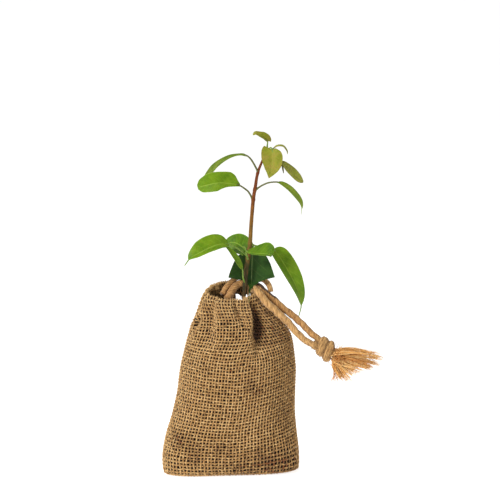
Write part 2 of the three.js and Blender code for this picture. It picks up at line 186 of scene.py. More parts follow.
def tube_points(centres, side, upper, half_width, half_thick, sides):
    """Ring points of tubes: centres and directions (..., 3), half sizes (...) across and over."""
    turn = 2 * np.pi * np.arange(sides) / sides
    across = half_width[..., None] * np.cos(turn)
    over = half_thick[..., None] * np.sin(turn)
    rings = (centres[..., None, :] + across[..., None] * side[..., None, :]
             + over[..., None] * upper[..., None, :])
    return rings.reshape(-1, 3)


def round_rings(path, side, upper, radius, turn):
    """Rings round a path, with a radius for each of its points and each turn of the ring."""
    return (path[:, None] + (radius * np.cos(turn))[..., None] * side[:, None]
            + (radius * np.sin(turn))[..., None] * upper[:, None])


print("a four-sided tube of two rings has", len(tube_faces(1, 2, 4)[0]), "walls")

# %% [markdown]
# ## Finishes
# Each finish starts from what the real surface is. Colours are given as sRGB hex values, as a maker
# reads them off a sample card, and one function turns them to the linear values that light needs.
# Plant and fibre surfaces are dielectrics: metallic 0, IOR near 1.45, and rough.


# %% Colour and nodes
def linear(hex_colour):
    """An sRGB hex value as linear red, green, blue and alpha."""
    parts = [int(hex_colour[i:i + 2], 16) / 255 for i in (1, 3, 5)]
    return tuple(c / 12.92 if c <= 0.04045 else ((c + 0.055) / 1.055) ** 2.4 for c in parts) + (1.0,)


def add_node(tree, kind, settings=(), links=()):
    """Adds one node: settings go to its inputs or properties, links join inputs to other outputs."""
    node = tree.nodes.new(kind)
    for name, value in dict(settings).items():
        if isinstance(name, int) or name in node.inputs:
            node.inputs[name].default_value = value
        else:
            setattr(node, name, value)
    for name, output in dict(links).items():
        tree.links.new(output, node.inputs[name])
    return node


def new_finish(name, **sockets):
    """A material with its shader's constant values set on the shader's own sockets."""
    material = bpy.data.materials.new(name)
    material.use_nodes = True
    shader = material.node_tree.nodes["Principled BSDF"]
    for socket, value in {"Metallic": 0.0, "IOR": 1.45, **sockets}.items():
        shader.inputs[socket].default_value = value
    return material, material.node_tree, shader


print("hex #808080 is linear", round(linear("#808080")[0], 3))

# %% Blends, patches and relief
MATH, RANGE, MIX = "ShaderNodeMath", "ShaderNodeMapRange", "ShaderNodeMix"
MIX_SHARE, MIX_FROM, MIX_TO, MIX_RESULT = 0, 6, 7, 2  # sockets of a Mix node that blends colours


def toned(tree, pattern, low, high, start, end):
    """Runs from one colour to another while a pattern's value goes from low to high. Each colour is a
    hex value or another node's output."""
    span = {"From Min": low, "From Max": high}
    share = add_node(tree, RANGE, span, {"Value": pattern}).outputs["Result"]
    settings = {"data_type": "RGBA"}
    links = {MIX_SHARE: share}
    for socket, colour in ((MIX_FROM, start), (MIX_TO, end)):
        if isinstance(colour, str):
            settings[socket] = linear(colour)
        else:
            links[socket] = colour
    return add_node(tree, MIX, settings, links).outputs[MIX_RESULT]


def mottle(tree, patch_mm, detail=3.0, stretch=(1.0, 1.0, 1.0), place=None):
    """Soft noise whose patches measure patch_mm, in the object's own space or at a place in mm."""
    source = place or add_node(tree, "ShaderNodeTexCoord").outputs["Object"]
    mapped = add_node(tree, "ShaderNodeMapping", {"Scale": stretch}, {"Vector": source})
    unit_scale = 1.0 if place else 1.0 / MM
    settings = {"Scale": unit_scale / patch_mm, "Detail": detail, "Roughness": 0.6}
    noise = add_node(tree, "ShaderNodeTexNoise", settings, {"Vector": mapped.outputs["Vector"]})
    return noise.outputs["Fac"]


def dress(tree, shader, colour, height, depth_mm):
    """Gives the shader its colour, and a fine relief from a height whose full range is depth_mm."""
    tree.links.new(colour, shader.inputs["Base Color"])
    settings = {"Strength": 1.0, "Distance": depth_mm * MM}
    bump = add_node(tree, "ShaderNodeBump", settings, {"Height": height})
    tree.links.new(bump.outputs["Normal"], shader.inputs["Normal"])


print("a blend reads its colours from sockets", MIX_FROM, "and", MIX_TO)

# %% [markdown]
# ### Jute
# Jute is a bast fibre, spun coarse and hairy and left undyed. It is matt, golden where it catches the
# light and brown in the gaps. Single yarns differ, so the cloth has tones of the same finish: pale straw,
# tan, brown, and tea-coloured where the cloth is stained. The tones run browner in a fold, inside the mouth
# and on the front's right side, and a fifth, dark tone is used deep in a fold and inside the mouth: all of
# this is painted shade. Along the rim they run paler, a painted highlight. Single fibres are about 0.05 mm
# wide, too fine to show, so they are drawn as soft patches of 1.4 mm in the colour and as a relief of
# 0.35 mm grain.


# %% Jute finishes
def jute(name, shade, light, roughness=0.9):
    sheen = {"Sheen Weight": 0.15, "Sheen Roughness": 0.5}
    material, tree, shader = new_finish(name, Roughness=roughness, **sheen)
    colour = toned(tree, mottle(tree, 1.4, 4.0), 0.32, 0.7, shade, light)
    dress(tree, shader, colour, mottle(tree, 0.35, 3.0), 0.25)
    return material


# Tone 4 is only painted shade. Tones 2 and 3 also carry the painted shade of folds, mouth and right side.
YARNS = [
    jute("jute_yarn_straw", "#AE874F", "#D8B178"),
    jute("jute_yarn_tan", "#98703D", "#C49A60"),
    jute("jute_yarn_brown", "#76522B", "#A07A46"),
    jute("jute_yarn_stained_and_shaded", "#6C3C18", "#905A2A"),
    jute("jute_yarn_painted_shade", "#44290F", "#6A4320"),
]


def jute_string(name, shade, light):
    """Loosely spun string: long streaks of fibre, laid along each piece's own length. Real fibres are
    about 0.05 mm wide; they show in bundles of nearly a millimetre, so the streaks are that wide."""
    material, tree, shader = new_finish(name, Roughness=0.85, **{"Sheen Weight": 0.15})
    place = add_node(tree, "ShaderNodeAttribute", {"attribute_name": "place"}).outputs["Vector"]
    fibre = mottle(tree, 1.0, 4.0, (0.28, 1.2, 1.0), place)
    fine = mottle(tree, 0.5, 3.0, (0.4, 1.0, 1.0), place)
    colour = toned(tree, fibre, 0.4, 0.6, shade, light)
    colour = toned(tree, fine, 0.42, 0.9, colour, light)
    dress(tree, shader, colour, fibre, 0.7)
    return material


print("tones of yarn", len(YARNS))

# %% String and fibre finishes
STRING = jute_string("jute_string_golden", "#7E5628", "#D4A66A")
# Brown along all of the back length; on the first stretch of the others, in the mouth, it is painted shade.
STRING_BROWN = jute_string("jute_string_brown", "#744A20", "#C8965A")
# Near black along the upper edge of the back length: painted shade.
STRING_SHADE_EDGE = jute_string("jute_string_shade_edge", "#24150B", "#56381F")
KNOTTED = jute_string("jute_string_pulled_tight", "#64421E", "#C4985C")
FRAY = [
    jute("jute_fibre_pale", "#E6B062", "#FAD492", 0.6),
    jute("jute_fibre_gold", "#D89640", "#F2BC6C", 0.6),
    jute("jute_fibre_orange", "#AA6420", "#D89444", 0.6),
]
print("jute finishes", len(YARNS) + len(FRAY) + len((STRING, STRING_BROWN, STRING_SHADE_EDGE, KNOTTED)))

# %% [markdown]
# ## The drawstring
# The string is a soft two-ply jute twist, 4.2 mm thick. It comes out of the mouth's left side, passes
# behind the stem, and leaves over the right shoulder, where two lengths are knotted together. A thinner
# bight of it lies over the back of the rim. The string is stiff enough at this length to stand off the
# bag. Its routes are the model's own points. A mesh tube is used, not a curve with a bevel, because
# the two plies show as a shallow groove that winds round it.

# %% Drawstring
STRING_WIDE = 4.2
BIGHT_WIDE = 3.6
FRONT_ROUTE = [(-2.6, -5.6, 132), (0.6, 1, 136.6), (4, 5.4, 140.4), (7.8, 6.3, 141.8), (11.4, 5.6, 140.4),
               (14.8, 4.4, 139.1), (18.2, 1, 137.9), (21.5, -2.7, 135.4), (27.5, -5.5, 128.2),
               (33.3, -5, 123), (38.6, -4, 118.1), (43.9, -3, 112.2), (48.4, -3, 106.5),
               (53.6, -3, 101.6), (60, -2.2, 97.6), (63.6, -1.6, 95.9)]
BACK_ROUTE = [(16, 9, 140.7), (18.2, 8, 140.4), (20.8, 6.3, 139), (24, 4.6, 136.4), (28, 3.2, 132.9),
              (33.6, 1.8, 128.4), (41.4, 1.6, 121.6), (46.2, 1.6, 117.9), (50.7, 1.6, 113.7),
              (55.4, 1, 109.3), (60.6, 0.8, 104.2), (65.2, 0.5, 100.3)]
BIGHT_ROUTE = [(-6.4, -2.4, 135.2), (-3.8, 2, 138.8), (-0.4, 6.4, 142), (4, 10.4, 145), (11, 13.4, 146.4),
               (18, 13, 144.8), (23.9, 12, 143.4), (27.2, 10.6, 141.2), (28.9, 9, 138.2), (29.6, 8, 135)]
STRING_SIDES = 28
STRING_STEP = 0.6  # millimetres from one ring of a string to the next
PLY_TURN = 15.0  # millimetres of string for one turn of its two plies
STRAND_TURN = 30.0  # and for one turn of the strands in a ply
print("points on the routes", len(FRONT_ROUTE), len(BACK_ROUTE), len(BIGHT_ROUTE))


# %% String maker
def string_places(run, lay, wide):
    """Each ring point's place on the string in mm, along it and round it, for the fibres' streaks."""
    along, aside = np.broadcast_arrays(run, lay * wide / 2)
    return np.stack([along, aside, 0 * along], -1).reshape(-1, 3)


def string_rings(path, run, wide, seed, loose=(1.0, 1.0)):
    """Ring points of a two-ply string with its groove and its slubs, and each point's place. loose is how
    much its start and its end have opened up and grown thicker."""
    own = np.random.default_rng(seed)
    side, upper = carried_frame(path)
    turn = 2 * np.pi * np.arange(STRING_SIDES) / STRING_SIDES
    s, a = run[:, None], turn[None, :]
    lay = a - 2 * np.pi * s / PLY_TURN
    radius = wide / 2 * (0.94 + 0.08 * np.abs(np.cos(lay)) ** 0.7)
    for lobes in (5, 9, 13):
        phase, drift = own.uniform(0, 6.28, 2)
        strand = lobes * (a - 2 * np.pi * s / STRAND_TURN) + phase
        radius += wide * 0.008 * np.cos(strand + 0.6 * np.sin(s / 4 + drift))
    for length in (1.1, 2.3, 4.1):
        radius += wide * 0.027 * np.sin(s / length + own.uniform(0, 6.28)) * np.cos(a + own.uniform(0, 6.28))
    radius = radius * np.interp(s, [0, 0.55 * run[-1], run[-1]], [loose[0], loose[0], loose[1]])
    return round_rings(path, side, upper, radius, a).reshape(-1, 3), string_places(s, lay, wide)


def string_tones(rings, path, run, brown_until, dark_edge):
    """0 golden; 1 brown, for the back length and the first stretch of the others, where it is painted shade
    in the mouth; 2 darker on the upper edge, painted shade.
    """
    outward = unit(rings.reshape(len(path), STRING_SIDES, 3) - path[:, None])
    tone = np.where(run[:, None] < brown_until, 1, 0) + np.zeros(STRING_SIDES, int)
    if dark_edge:
        tone = np.where(outward[..., 2] > np.interp(run, [0, 14, 30], [0.55, 0.6, 0.86])[:, None], 2, 1)
    return np.concatenate([tone[:-1].reshape(-1), [tone[0, 0], tone[-1, 0]]])


def string_length(name, route, wide, seed, loose, brown_until=0.0, dark_edge=False):
    path, run = even_path(route, STRING_STEP)
    points, places = string_rings(path, run, wide, seed, loose)
    quads, caps = tube_faces(1, len(path), STRING_SIDES)
    tones = string_tones(points, path, run, brown_until, dark_edge)
    piece = mesh_piece(name, points, quads, caps, [STRING, STRING_BROWN, STRING_SHADE_EDGE], tones, places)
    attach(piece, "root")
    return piece, path


print("ring points in 10 mm of string", int(10 / STRING_STEP) * STRING_SIDES)

# %% The three lengths of string
# The first stretches of the front and bight lengths, in the mouth, are brown: painted shade.
string_front, front_path = string_length("string_front", FRONT_ROUTE, STRING_WIDE, 1, (1.32, 1.14),
                                         brown_until=22)
string_back, back_path = string_length("string_back", BACK_ROUTE, STRING_WIDE, 2, (1.22, 1.14),
                                       dark_edge=True)
string_bight, bight_path = string_length("string_bight", BIGHT_ROUTE, BIGHT_WIDE, 3, (1.15, 1.1),
                                         brown_until=24)
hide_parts("drawstring_front")
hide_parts("drawstring_back")
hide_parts("drawstring_loop")


def length_of(path):
    return float(np.linalg.norm(np.diff(path, axis=0), axis=1).sum())


print("string lengths in mm", [round(length_of(p), 1) for p in (front_path, back_path, bight_path)])

# %% [markdown]
# ## The knot
# Both lengths are tied together in one overhand knot. What shows is two fat turns lying side by side,
# with a deep groove between them. Each turn is a closed ring of the same string, pulled tight and
# leaning. Inside them two straight cores carry the two lengths on, so that no gap shows.

# %% Knot
KNOT_MIDDLE = np.array([70.2, 0.0, 92.6])
KNOT_TURNS = [  # offset right, offset up, half height, half depth, string thickness
    (-2.5, 2.5, 4.5, 2.6, 7.3),
    (2.1, -1.1, 4.9, 2.6, 7.4),
]
KNOT_LEAN = math.radians(17)  # the tops of both turns lean right
KNOT_STEPS = 72
KNOT_CORES = [  # thickness, seed and route of the two lengths inside the knot
    (6.4, 15, [front_path[-1] - (2.5, 0, -1), KNOT_MIDDLE + (-1, 0, 0.5), KNOT_MIDDLE + (8.0, 0, -2.6)]),
    (4.8, 16, [back_path[-1] - (1.5, 0, -1.8), KNOT_MIDDLE + (-2.8, 0, 4.2), KNOT_MIDDLE])]


def knot_turn_rings(right, up, half_high, half_deep, wide, seed):
    """Ring points of one closed, leaning turn of the knot, and each point's place."""
    own = np.random.default_rng(seed)
    turns = 2 * np.pi * np.arange(KNOT_STEPS) / KNOT_STEPS
    z = half_high * np.cos(turns)
    path = KNOT_MIDDLE + np.stack([right + z * math.sin(KNOT_LEAN), half_deep * np.sin(turns),
                                   up + z * math.cos(KNOT_LEAN)], 1)
    side = np.broadcast_to([math.cos(KNOT_LEAN), 0.0, -math.sin(KNOT_LEAN)], path.shape)
    upper = unit(np.cross(np.roll(path, -1, 0) - np.roll(path, 1, 0), side))
    s = np.arange(KNOT_STEPS)[:, None] * 0.4
    a = (2 * np.pi * np.arange(STRING_SIDES) / STRING_SIDES)[None, :]
    radius = wide / 2 * (0.93 + 0.05 * np.cos(2 * a + 2 * turns[:, None] + own.uniform(0, 6.28)))
    for lobes in (5, 9, 14):
        radius = radius + wide * 0.02 * np.cos(lobes * a + turns[:, None] + own.uniform(0, 6.28))
    return round_rings(path, side, upper, radius, a).reshape(-1, 3), string_places(s, a, wide)


print("turns and cores of the knot", len(KNOT_TURNS), len(KNOT_CORES))


# %% Tied knot
def tie_knot():
    points, quads, places, base = [], [], [], 0
    for seed, turn in enumerate(KNOT_TURNS):
        rings, place = knot_turn_rings(*turn, seed + 11)
        faces, _ = tube_faces(1, KNOT_STEPS, STRING_SIDES, closed=True)
        points.append(rings)
        places.append(place)
        quads.append(faces + base)
        base += len(rings)
    ends = []
    for wide, seed, route in KNOT_CORES:
        path, run = even_path(route, STRING_STEP)
        rings, place = string_rings(path, run, wide, seed)
        faces, caps = tube_faces(1, len(path), STRING_SIDES)
        points.append(rings)
        places.append(place)
        quads.append(faces + base)
        ends.append(caps + base)
        base += len(rings)
    knot = mesh_piece("knot_turns", np.vstack(points), np.vstack(quads), np.vstack(ends), [KNOTTED],
                      places=np.vstack(places))
    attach(knot, "root")
    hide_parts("knot")
    return knot


knot = tie_knot()
print("knot faces", len(knot.data.polygons))

# %% [markdown]
# ## The frayed ends
# Below the knot both ends are combed out into a brush of single fibres. The fibres leave the knot
# close together, hang together in locks of uneven length, and fan out. Short curly ones hide the roots
# and a few strays hang down. Each fibre is a thin tapering tube. Each lock has a tone of its own, and its
# fibres vary a little round it.

# %% Tassel
FIBRE_RINGS = 9
FIBRE_SIDES = 4
LOCKS = 50
LOCK_FIBRES = 12
CURLY_FIBRES = 220
STRAY_FIBRES = 12
FAN = [  # round the fan, from its top to its lowest edge: tip x and z, root z, and the slope it leaves with
    (103, 91.4, 90.8, 0.34), (111.4, 89, 90.2, 0.3), (113.2, 85.6, 89.4, 0.18), (112, 81.8, 88.6, 0.04),
    (109, 78.8, 87.8, -0.1), (104, 77.6, 87, -0.22), (99, 79.4, 86.4, -0.35), (95.5, 75.4, 85.6, -0.6),
    (92, 71.8, 84.8, -0.9), (88, 69, 84, -1.3), (83.4, 69, 83.2, -1.9), (80.6, 72, 82.6, -2.5)]
FAN_ROOT_X = 75.6
FIBRE_THICK = (0.13, 0.3)  # half the thickness of a fibre, from and to
CURLY_THICK = (0.13, 0.26)
STRAY_THICK = 0.34
CURLY_FROM = (FAN_ROOT_X + 1.5, 0, 87.8)
CURLY_SPREAD = (1.6, 2.4, 2.8)
CURLY_LEAN = (0.9, -0.5, -0.3)
STRAY_FROM = (FAN_ROOT_X + 1, 0, 83.5)
STRAY_TO = (77, 0, 68.6)
STRAY_SPREAD = (3.2, 2, 1.2)


def fibres(roots, leave, tips, thick, bend, seed):
    """Thin tubes from roots to tips that start off in a direction and wave by bend."""
    own = np.random.default_rng(seed)
    count = len(roots)
    share = np.linspace(0, 1, FIBRE_RINGS)[None, :, None]
    reach = np.linalg.norm(tips - roots, axis=1)[:, None, None]
    knee = roots[:, None] + leave[:, None] * reach * 0.45
    path = (1 - share) ** 2 * roots[:, None] + 2 * share * (1 - share) * knee + share ** 2 * tips[:, None]
    wave = own.normal(0, 1, (count, 1, 3)) * np.sin(share * own.uniform(3, 7, (count, 1, 1)))
    path = path + np.reshape(bend, (-1, 1, 1)) * wave * share
    along = unit(np.gradient(path, axis=1))
    side = unit(np.cross(along, own.normal(0, 1, (count, 1, 3))))
    upper = np.cross(along, side)
    taper = (1 - 0.65 * share[..., 0] ** 2) * thick[:, None]
    points = tube_points(path, side, upper, taper, taper, FIBRE_SIDES)
    return points, tube_faces(count, FIBRE_RINGS, FIBRE_SIDES)


def fibre_tones(tone):
    """Each fibre's tone, given to all its walls and then to its two end faces."""
    return np.concatenate([np.repeat(tone, (FIBRE_RINGS - 1) * FIBRE_SIDES), np.repeat(tone, 2)])


print("fibres in the brush", LOCKS * LOCK_FIBRES + CURLY_FIBRES + STRAY_FIBRES)


# %% Combed brush
def comb_tassel():
    own = np.random.default_rng(21)
    fan = np.array(FAN, float)
    place = np.repeat((np.arange(LOCKS) + own.uniform(0.2, 0.8, LOCKS)) / LOCKS, LOCK_FIBRES)
    reach = np.repeat(1 - 0.3 * own.uniform(0, 1, LOCKS) ** 2, LOCK_FIBRES)
    count = len(place)
    tip_x, tip_z, root_z, rise = (np.interp(place, np.linspace(0, 1, len(fan)), fan[:, c]) for c in range(4))
    depth = np.repeat(own.normal(0, 2.4, LOCKS), LOCK_FIBRES)
    roots = np.stack([FAN_ROOT_X + own.normal(0, 0.4, count), 0.5 * depth + own.normal(0, 1, count),
                      root_z + own.normal(0, 0.9, count)], 1)
    tips = np.stack([tip_x, depth, tip_z], 1)
    tips = roots + (tips - roots) * (reach * own.uniform(0.9, 1.02, count))[:, None]
    tips = tips + own.normal(0, 0.8, (count, 3))
    leave = unit(np.stack([np.ones(count), own.normal(0, 0.15, count), rise + own.normal(0, 0.14, count)], 1))
    curly_root = np.array(CURLY_FROM) + own.normal(0, 1, (CURLY_FIBRES, 3)) * CURLY_SPREAD
    curly_way = unit(own.normal(0, 1, (CURLY_FIBRES, 3)) + CURLY_LEAN)
    curly_tip = curly_root + curly_way * own.uniform(4, 9, (CURLY_FIBRES, 1))
    stray_root = np.array(STRAY_FROM) + own.normal(0, 0.8, (STRAY_FIBRES, 3))
    stray_tip = np.array(STRAY_TO) + own.normal(0, 1, (STRAY_FIBRES, 3)) * STRAY_SPREAD
    stray_way = unit(np.array([0.25, 0, -1.0]) + own.normal(0, 0.2, (STRAY_FIBRES, 3)))
    thick = np.concatenate([own.uniform(*FIBRE_THICK, count), own.uniform(*CURLY_THICK, CURLY_FIBRES),
                            np.full(STRAY_FIBRES, STRAY_THICK)])
    bend = np.concatenate([own.uniform(0.4, 1.3, count), np.full(CURLY_FIBRES, 0.9),
                           np.full(STRAY_FIBRES, 0.7)])
    points, (quads, caps) = fibres(
        np.vstack([roots, curly_root, stray_root]),
        np.vstack([leave, unit(curly_way + own.normal(0, 0.6, curly_way.shape)), stray_way]),
        np.vstack([tips, curly_tip, stray_tip]), thick, bend, 22)
    lock_tone = np.repeat(own.normal(0.62, 0.5, LOCKS), LOCK_FIBRES)
    tone = np.concatenate([
        np.clip(np.round(lock_tone + own.normal(0, 0.6, count)), 0, 2),
        own.choice(3, CURLY_FIBRES, p=[0.15, 0.35, 0.5]), np.full(STRAY_FIBRES, 2)]).astype(int)
    tones = fibre_tones(tone)
    brush = mesh_piece("tassel_fibres", points, quads, caps, FRAY, tones)
    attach(brush, "root")
    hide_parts("tassel")
    return brush


tassel = comb_tassel()
print("tassel faces", len(tassel.data.polygons))

# %% [markdown]
# ## What the string is
# The three lengths are made things that bend.

print("declared", len((string_front, string_back, string_bight)), "lengths of string")

# %% [markdown]
# ## The bag's form
# The bag is a flat pouch filled by the root ball: wide and boat-shaped at its foot, drawn in at the
# neck. Its form is the model's: an oval at each height, pressed in where the neck gathers. Here the
# same formula is read at thousands of places at once.

# %% The pouch's form
BAG_ROWS = np.array([  # height, middle, half width, half depth, how far the back stands higher
    (0, 0.3, 45, 15.5, 0), (1.1, 0, 48.8, 18.5, 0), (4.5, 0, 50, 20.5, 0), (16, -0.2, 50.1, 23, 0),
    (30, 0.3, 48.2, 25, 0), (46, 2, 45.3, 25.5, 0), (62, 3.9, 43.6, 25, 0), (78, 5.1, 42.8, 24, 0),
    (92, 5.9, 40.6, 22.5, 0), (103, 6.3, 38.2, 20.5, 0.2), (112, 5.1, 34.5, 18.5, 0.5),
    (120, 2.9, 28.6, 17, 1.2), (127, 0.8, 24, 15.4, 2.5), (133, -0.2, 20.8, 14.1, 3.8),
    (137.4, 0.2, 18.6, 13.4, 4.7)])
GATHERS = [  # angle at rim and shoulder, depth, half width before and past it, where it ends, run-out
    (-44, -71, 12, 4, 17, 88, 26), (-51, -79, -2.2, 6, 4.5, 95, 22), (-81, -82, 4.2, 6, 6, 103, 22),
    (-114, -113, -2, 6, 6, 86, 26), (-130, -129, 3.6, 9, 8, 90, 26), (-150, -150, -1.2, 7, 7, 92, 20),
    (18, 22, 3.4, 11, 11, 96, 34), (52, 52, 3.8, 12, 12, 92, 34), (88, 86, 4.2, 13, 13, 88, 34),
    (124, 122, 3.8, 12, 12, 92, 34), (158, 158, 3, 10, 10, 98, 34)]
SHOULDER = 105.0
RIM = 137.0
RIM_EASE = 0.5
NOTCH = (-157, 115, 7.5)  # angle, height and depth of the gap where the string's casing ends
NOTCH_SIZE = (8, 4.6)  # its half width in degrees and half height
BAG_TURN = math.radians(6)
FRONT_LIFT = 1.2
RIM_SAG = 2.5
BACK_RISE = 4.7
CLOTH_PROUD = 1.0  # how far the cloth stands out from the model's solid
FOOT_POWER = 3.2  # 2 is an oval, more is squarer
FOOT_TOP = 45.0  # the square foot has turned into the oval pouch at this height


print("rows of measures", len(BAG_ROWS), "gathers", len(GATHERS))


# %% Places on the pouch
def off_angle(angle, middle):
    """How many degrees an angle lies past another, from -180 to 180."""
    return (angle - middle + 180) % 360 - 180


def bag_row(share):
    """The pouch's measures at shares of its height, read smoothly from the table."""
    table = np.vstack([BAG_ROWS[0], BAG_ROWS, BAG_ROWS[-1]])
    at = np.clip(share, 0, 1) * (len(BAG_ROWS) - 1)
    i = np.minimum(at.astype(int), len(BAG_ROWS) - 2)
    t = (at - i)[..., None]
    p, q, r, s = table[i], table[i + 1], table[i + 2], table[i + 3]
    row = q + 0.5 * t * (r - p + t * (2 * p - 5 * q + 4 * r - s + t * (3 * (q - r) + s - p)))
    return np.moveaxis(row, -1, 0)


def notched(angle, height):
    """How far the notch is pressed inwards."""
    notch_angle, notch_height, notch_depth = NOTCH
    across, up = off_angle(angle, notch_angle) / NOTCH_SIZE[0], (height - notch_height) / NOTCH_SIZE[1]
    return notch_depth * np.exp(-(across ** 2) - up ** 2)


def gathered(angle, height):
    """How far the gathers and the notch press a place of the bag inwards."""
    rise = smoothstep(height, SHOULDER, RIM)
    pressed = notched(angle, height)
    for rim, shoulder, depth, before, past, end, run_out in GATHERS:
        off = off_angle(angle, rim + (1 - rise) * (shoulder - rim))
        wide = np.where(off < 0, before, past)
        deep = smoothstep(height, end, end + run_out) - RIM_EASE * smoothstep(height, 124, 137)
        pressed = pressed + depth * np.exp(-((off / wide) ** 2)) * deep
    return pressed


def bag_place(angle, share, inset):
    """A place on the bag: an angle in degrees from the right seam, a share of height, a depth."""
    height, middle, half_width, half_depth, back_rise = bag_row(share)
    cos, sin = np.cos(np.radians(angle)), np.sin(np.radians(angle))
    outward = unit(np.stack([cos / half_width, sin / half_depth], -1))
    pressed = inset - CLOTH_PROUD + gathered(angle, height)
    square = 1 - smoothstep(height, 0, FOOT_TOP)
    power = 2 + (FOOT_POWER - 2) * square
    corner = (np.abs(cos) ** power + np.abs(sin) ** power) ** (-1 / power)
    x = half_width * cos * corner - pressed * outward[..., 0] + middle
    y = half_depth * np.sign(sin) * np.abs(sin) ** (1.2 - 0.2 * square) * corner - pressed * outward[..., 1]
    lift = FRONT_LIFT * smoothstep(x, -30, 0) * np.where(share < 0.2, 1 - share / 0.2, 0) * (share > 0)
    sag = RIM_SAG * np.maximum(cos, 0) * back_rise / BACK_RISE
    return np.stack([x, y + x * math.sin(BAG_TURN), height + back_rise * sin - sag + lift], -1)


print("rim at the front", bag_place(np.array([-90.0]), np.array([1.0]), 0.0).round(1))

# %% [markdown]
# ## The cloth's own grid
# Hessian is a plain weave: each warp passes over one weft and under the next. To lay yarns on the
# pouch, the cloth gets two coordinates of its own, counted in yarns: one round the bag, one up it. The
# rows sag in the middle and climb to both sides, as filled cloth does. In the neck the cloth follows
# the folds, so more of it hides at the back. Past the rim the cloth rolls over and runs down
# inside as a hem, and below the foot it runs in to the seam under the bag.

# %% Cloth grid
YARN_PITCH = 2.4
SUB = 3  # steps from one crossing to the next
UNDER_ROWS = 7
HEM_ROWS = 8
LAYER = 0.8  # depth of the cloth's middle under the pouch's skin
HEM_LAYER = 2.5
SEAM_SHIFT = 24.0  # degrees that both side seams have moved to the back at the rim
RIGHT_CLIMB = 8.7
LEFT_CLIMB = 3.4


def cloth_shares():
    """How far up the pouch each share lies, measured along the cloth at the front."""
    shares = np.linspace(0, 1, 400)
    wall = bag_place(np.full(400, -100.0), shares, np.zeros(400))
    run = np.concatenate([[0], np.cumsum(np.linalg.norm(np.diff(wall, axis=0), axis=1))])
    return shares, run


WALL_SHARES, WALL_RUN = cloth_shares()
ROWS = int(round(WALL_RUN[-1] / YARN_PITCH))


def girth():
    """The number of warps that fit round the bag where it is fullest."""
    angles = np.linspace(-180, 180, 721)
    oval = bag_place(angles, np.full(721, 0.36), np.zeros(721))
    return 2 * int(round(np.linalg.norm(np.diff(oval, axis=0), axis=1).sum() / YARN_PITCH / 2))


WARPS = girth()
print("warps that fit round the bag", WARPS, "and rows up it", ROWS)

# %% Where each warp runs
MAP_ROWS = 120
TUCKS = [  # angle at rim and shoulder, half width, weight, height where it starts: where cloth is folded away
    (-44, -72, 6, 1.6, 84), (0, 0, 16, 1.0, 0), (172, 176, 13, 1.3, 0), (52, 52, 8, 1.0, 0),
    (88, 86, 8, 1.0, 0), (124, 122, 8, 1.0, 0)]


def tucked(angles, height):
    """How much of the surplus cloth is folded away at each angle."""
    rise = smoothstep(height, SHOULDER, RIM)
    total = np.full(len(angles), 0.06)
    for rim, shoulder, wide, weight, start in TUCKS:
        off = off_angle(angles, rim + (1 - rise) * (shoulder - rim)) / wide
        total = total + weight * np.exp(-(off ** 2)) * smoothstep(height, start - 1, start + 25)
    return total


def warp_map():
    """The angle of each warp at each share of height. The right side seam is warp 0 and the left one
    is half way round. Warps keep their pitch on the open cloth, and what is too much lies in tucks.
    They run straight on over the notch, so the rings are measured without it."""
    table = np.zeros((MAP_ROWS + 1, WARPS + 1))
    half = WARPS // 2
    for i in range(MAP_ROWS + 1):
        share = i / MAP_ROWS
        shift = SEAM_SHIFT * smoothstep(bag_row(np.array(share))[0], SHOULDER, RIM)
        seams = [shift, 180 - shift, 360 + shift]
        for part, (start, end) in enumerate(zip(seams, seams[1:])):
            angles = np.linspace(start, end, 500)
            open_notch = notched(angles, bag_row(np.array(share))[0])
            line = bag_place(angles, np.full(500, share), LAYER - open_notch)
            steps = np.linalg.norm(np.diff(line, axis=0), axis=1)
            surplus = max(0.0, half * YARN_PITCH - steps.sum())
            away = tucked(angles[1:], bag_row(np.array(share))[0])
            run = np.concatenate([[0], np.cumsum(steps * (1 + surplus * away / (steps * away).sum()))])
            marks = np.linspace(0, run[-1], half + 1)
            table[i, part * half:part * half + half + 1] = np.interp(marks, run, angles)
    return table


WARP_MAP = warp_map()
print("the front warp's angle at foot and rim", WARP_MAP[[0, -1], 3 * WARPS // 4].round(1))


# %% Places on the cloth
def warp_angle(warp, share):
    """The bag's angle for coordinates counted in warps, read between the rows of the map."""
    warp = warp % WARPS
    column = warp.astype(int)
    across = warp - column
    up = np.clip(share, 0, 1) * MAP_ROWS
    line = np.minimum(up.astype(int), MAP_ROWS - 1)
    rise = up - line
    low = WARP_MAP[line, column] * (1 - across) + WARP_MAP[line, column + 1] * across
    high = WARP_MAP[line + 1, column] * (1 - across) + WARP_MAP[line + 1, column + 1] * across
    return low * (1 - rise) + high * rise


ROLL_ROWS = 0.85  # rows of cloth in the roll over the rim


def cloth_spot(warp, row):
    """The bag's angle and share of height at coordinates counted in yarns."""
    up = np.clip(row, 0, ROWS) - np.clip(row - ROWS - ROLL_ROWS, 0, None)
    cos = np.cos(np.radians(warp_angle(warp, up / ROWS)))
    climb = np.where(cos > 0, RIGHT_CLIMB, LEFT_CLIMB) * np.abs(cos) ** 1.4
    climb = climb * smoothstep(up / ROWS, 0, 0.15) * (1 - smoothstep(up / ROWS, 0.6, 0.95))
    share = np.interp(up * WALL_RUN[-1] / ROWS + climb, WALL_RUN, WALL_SHARES)
    return warp_angle(warp, share), share


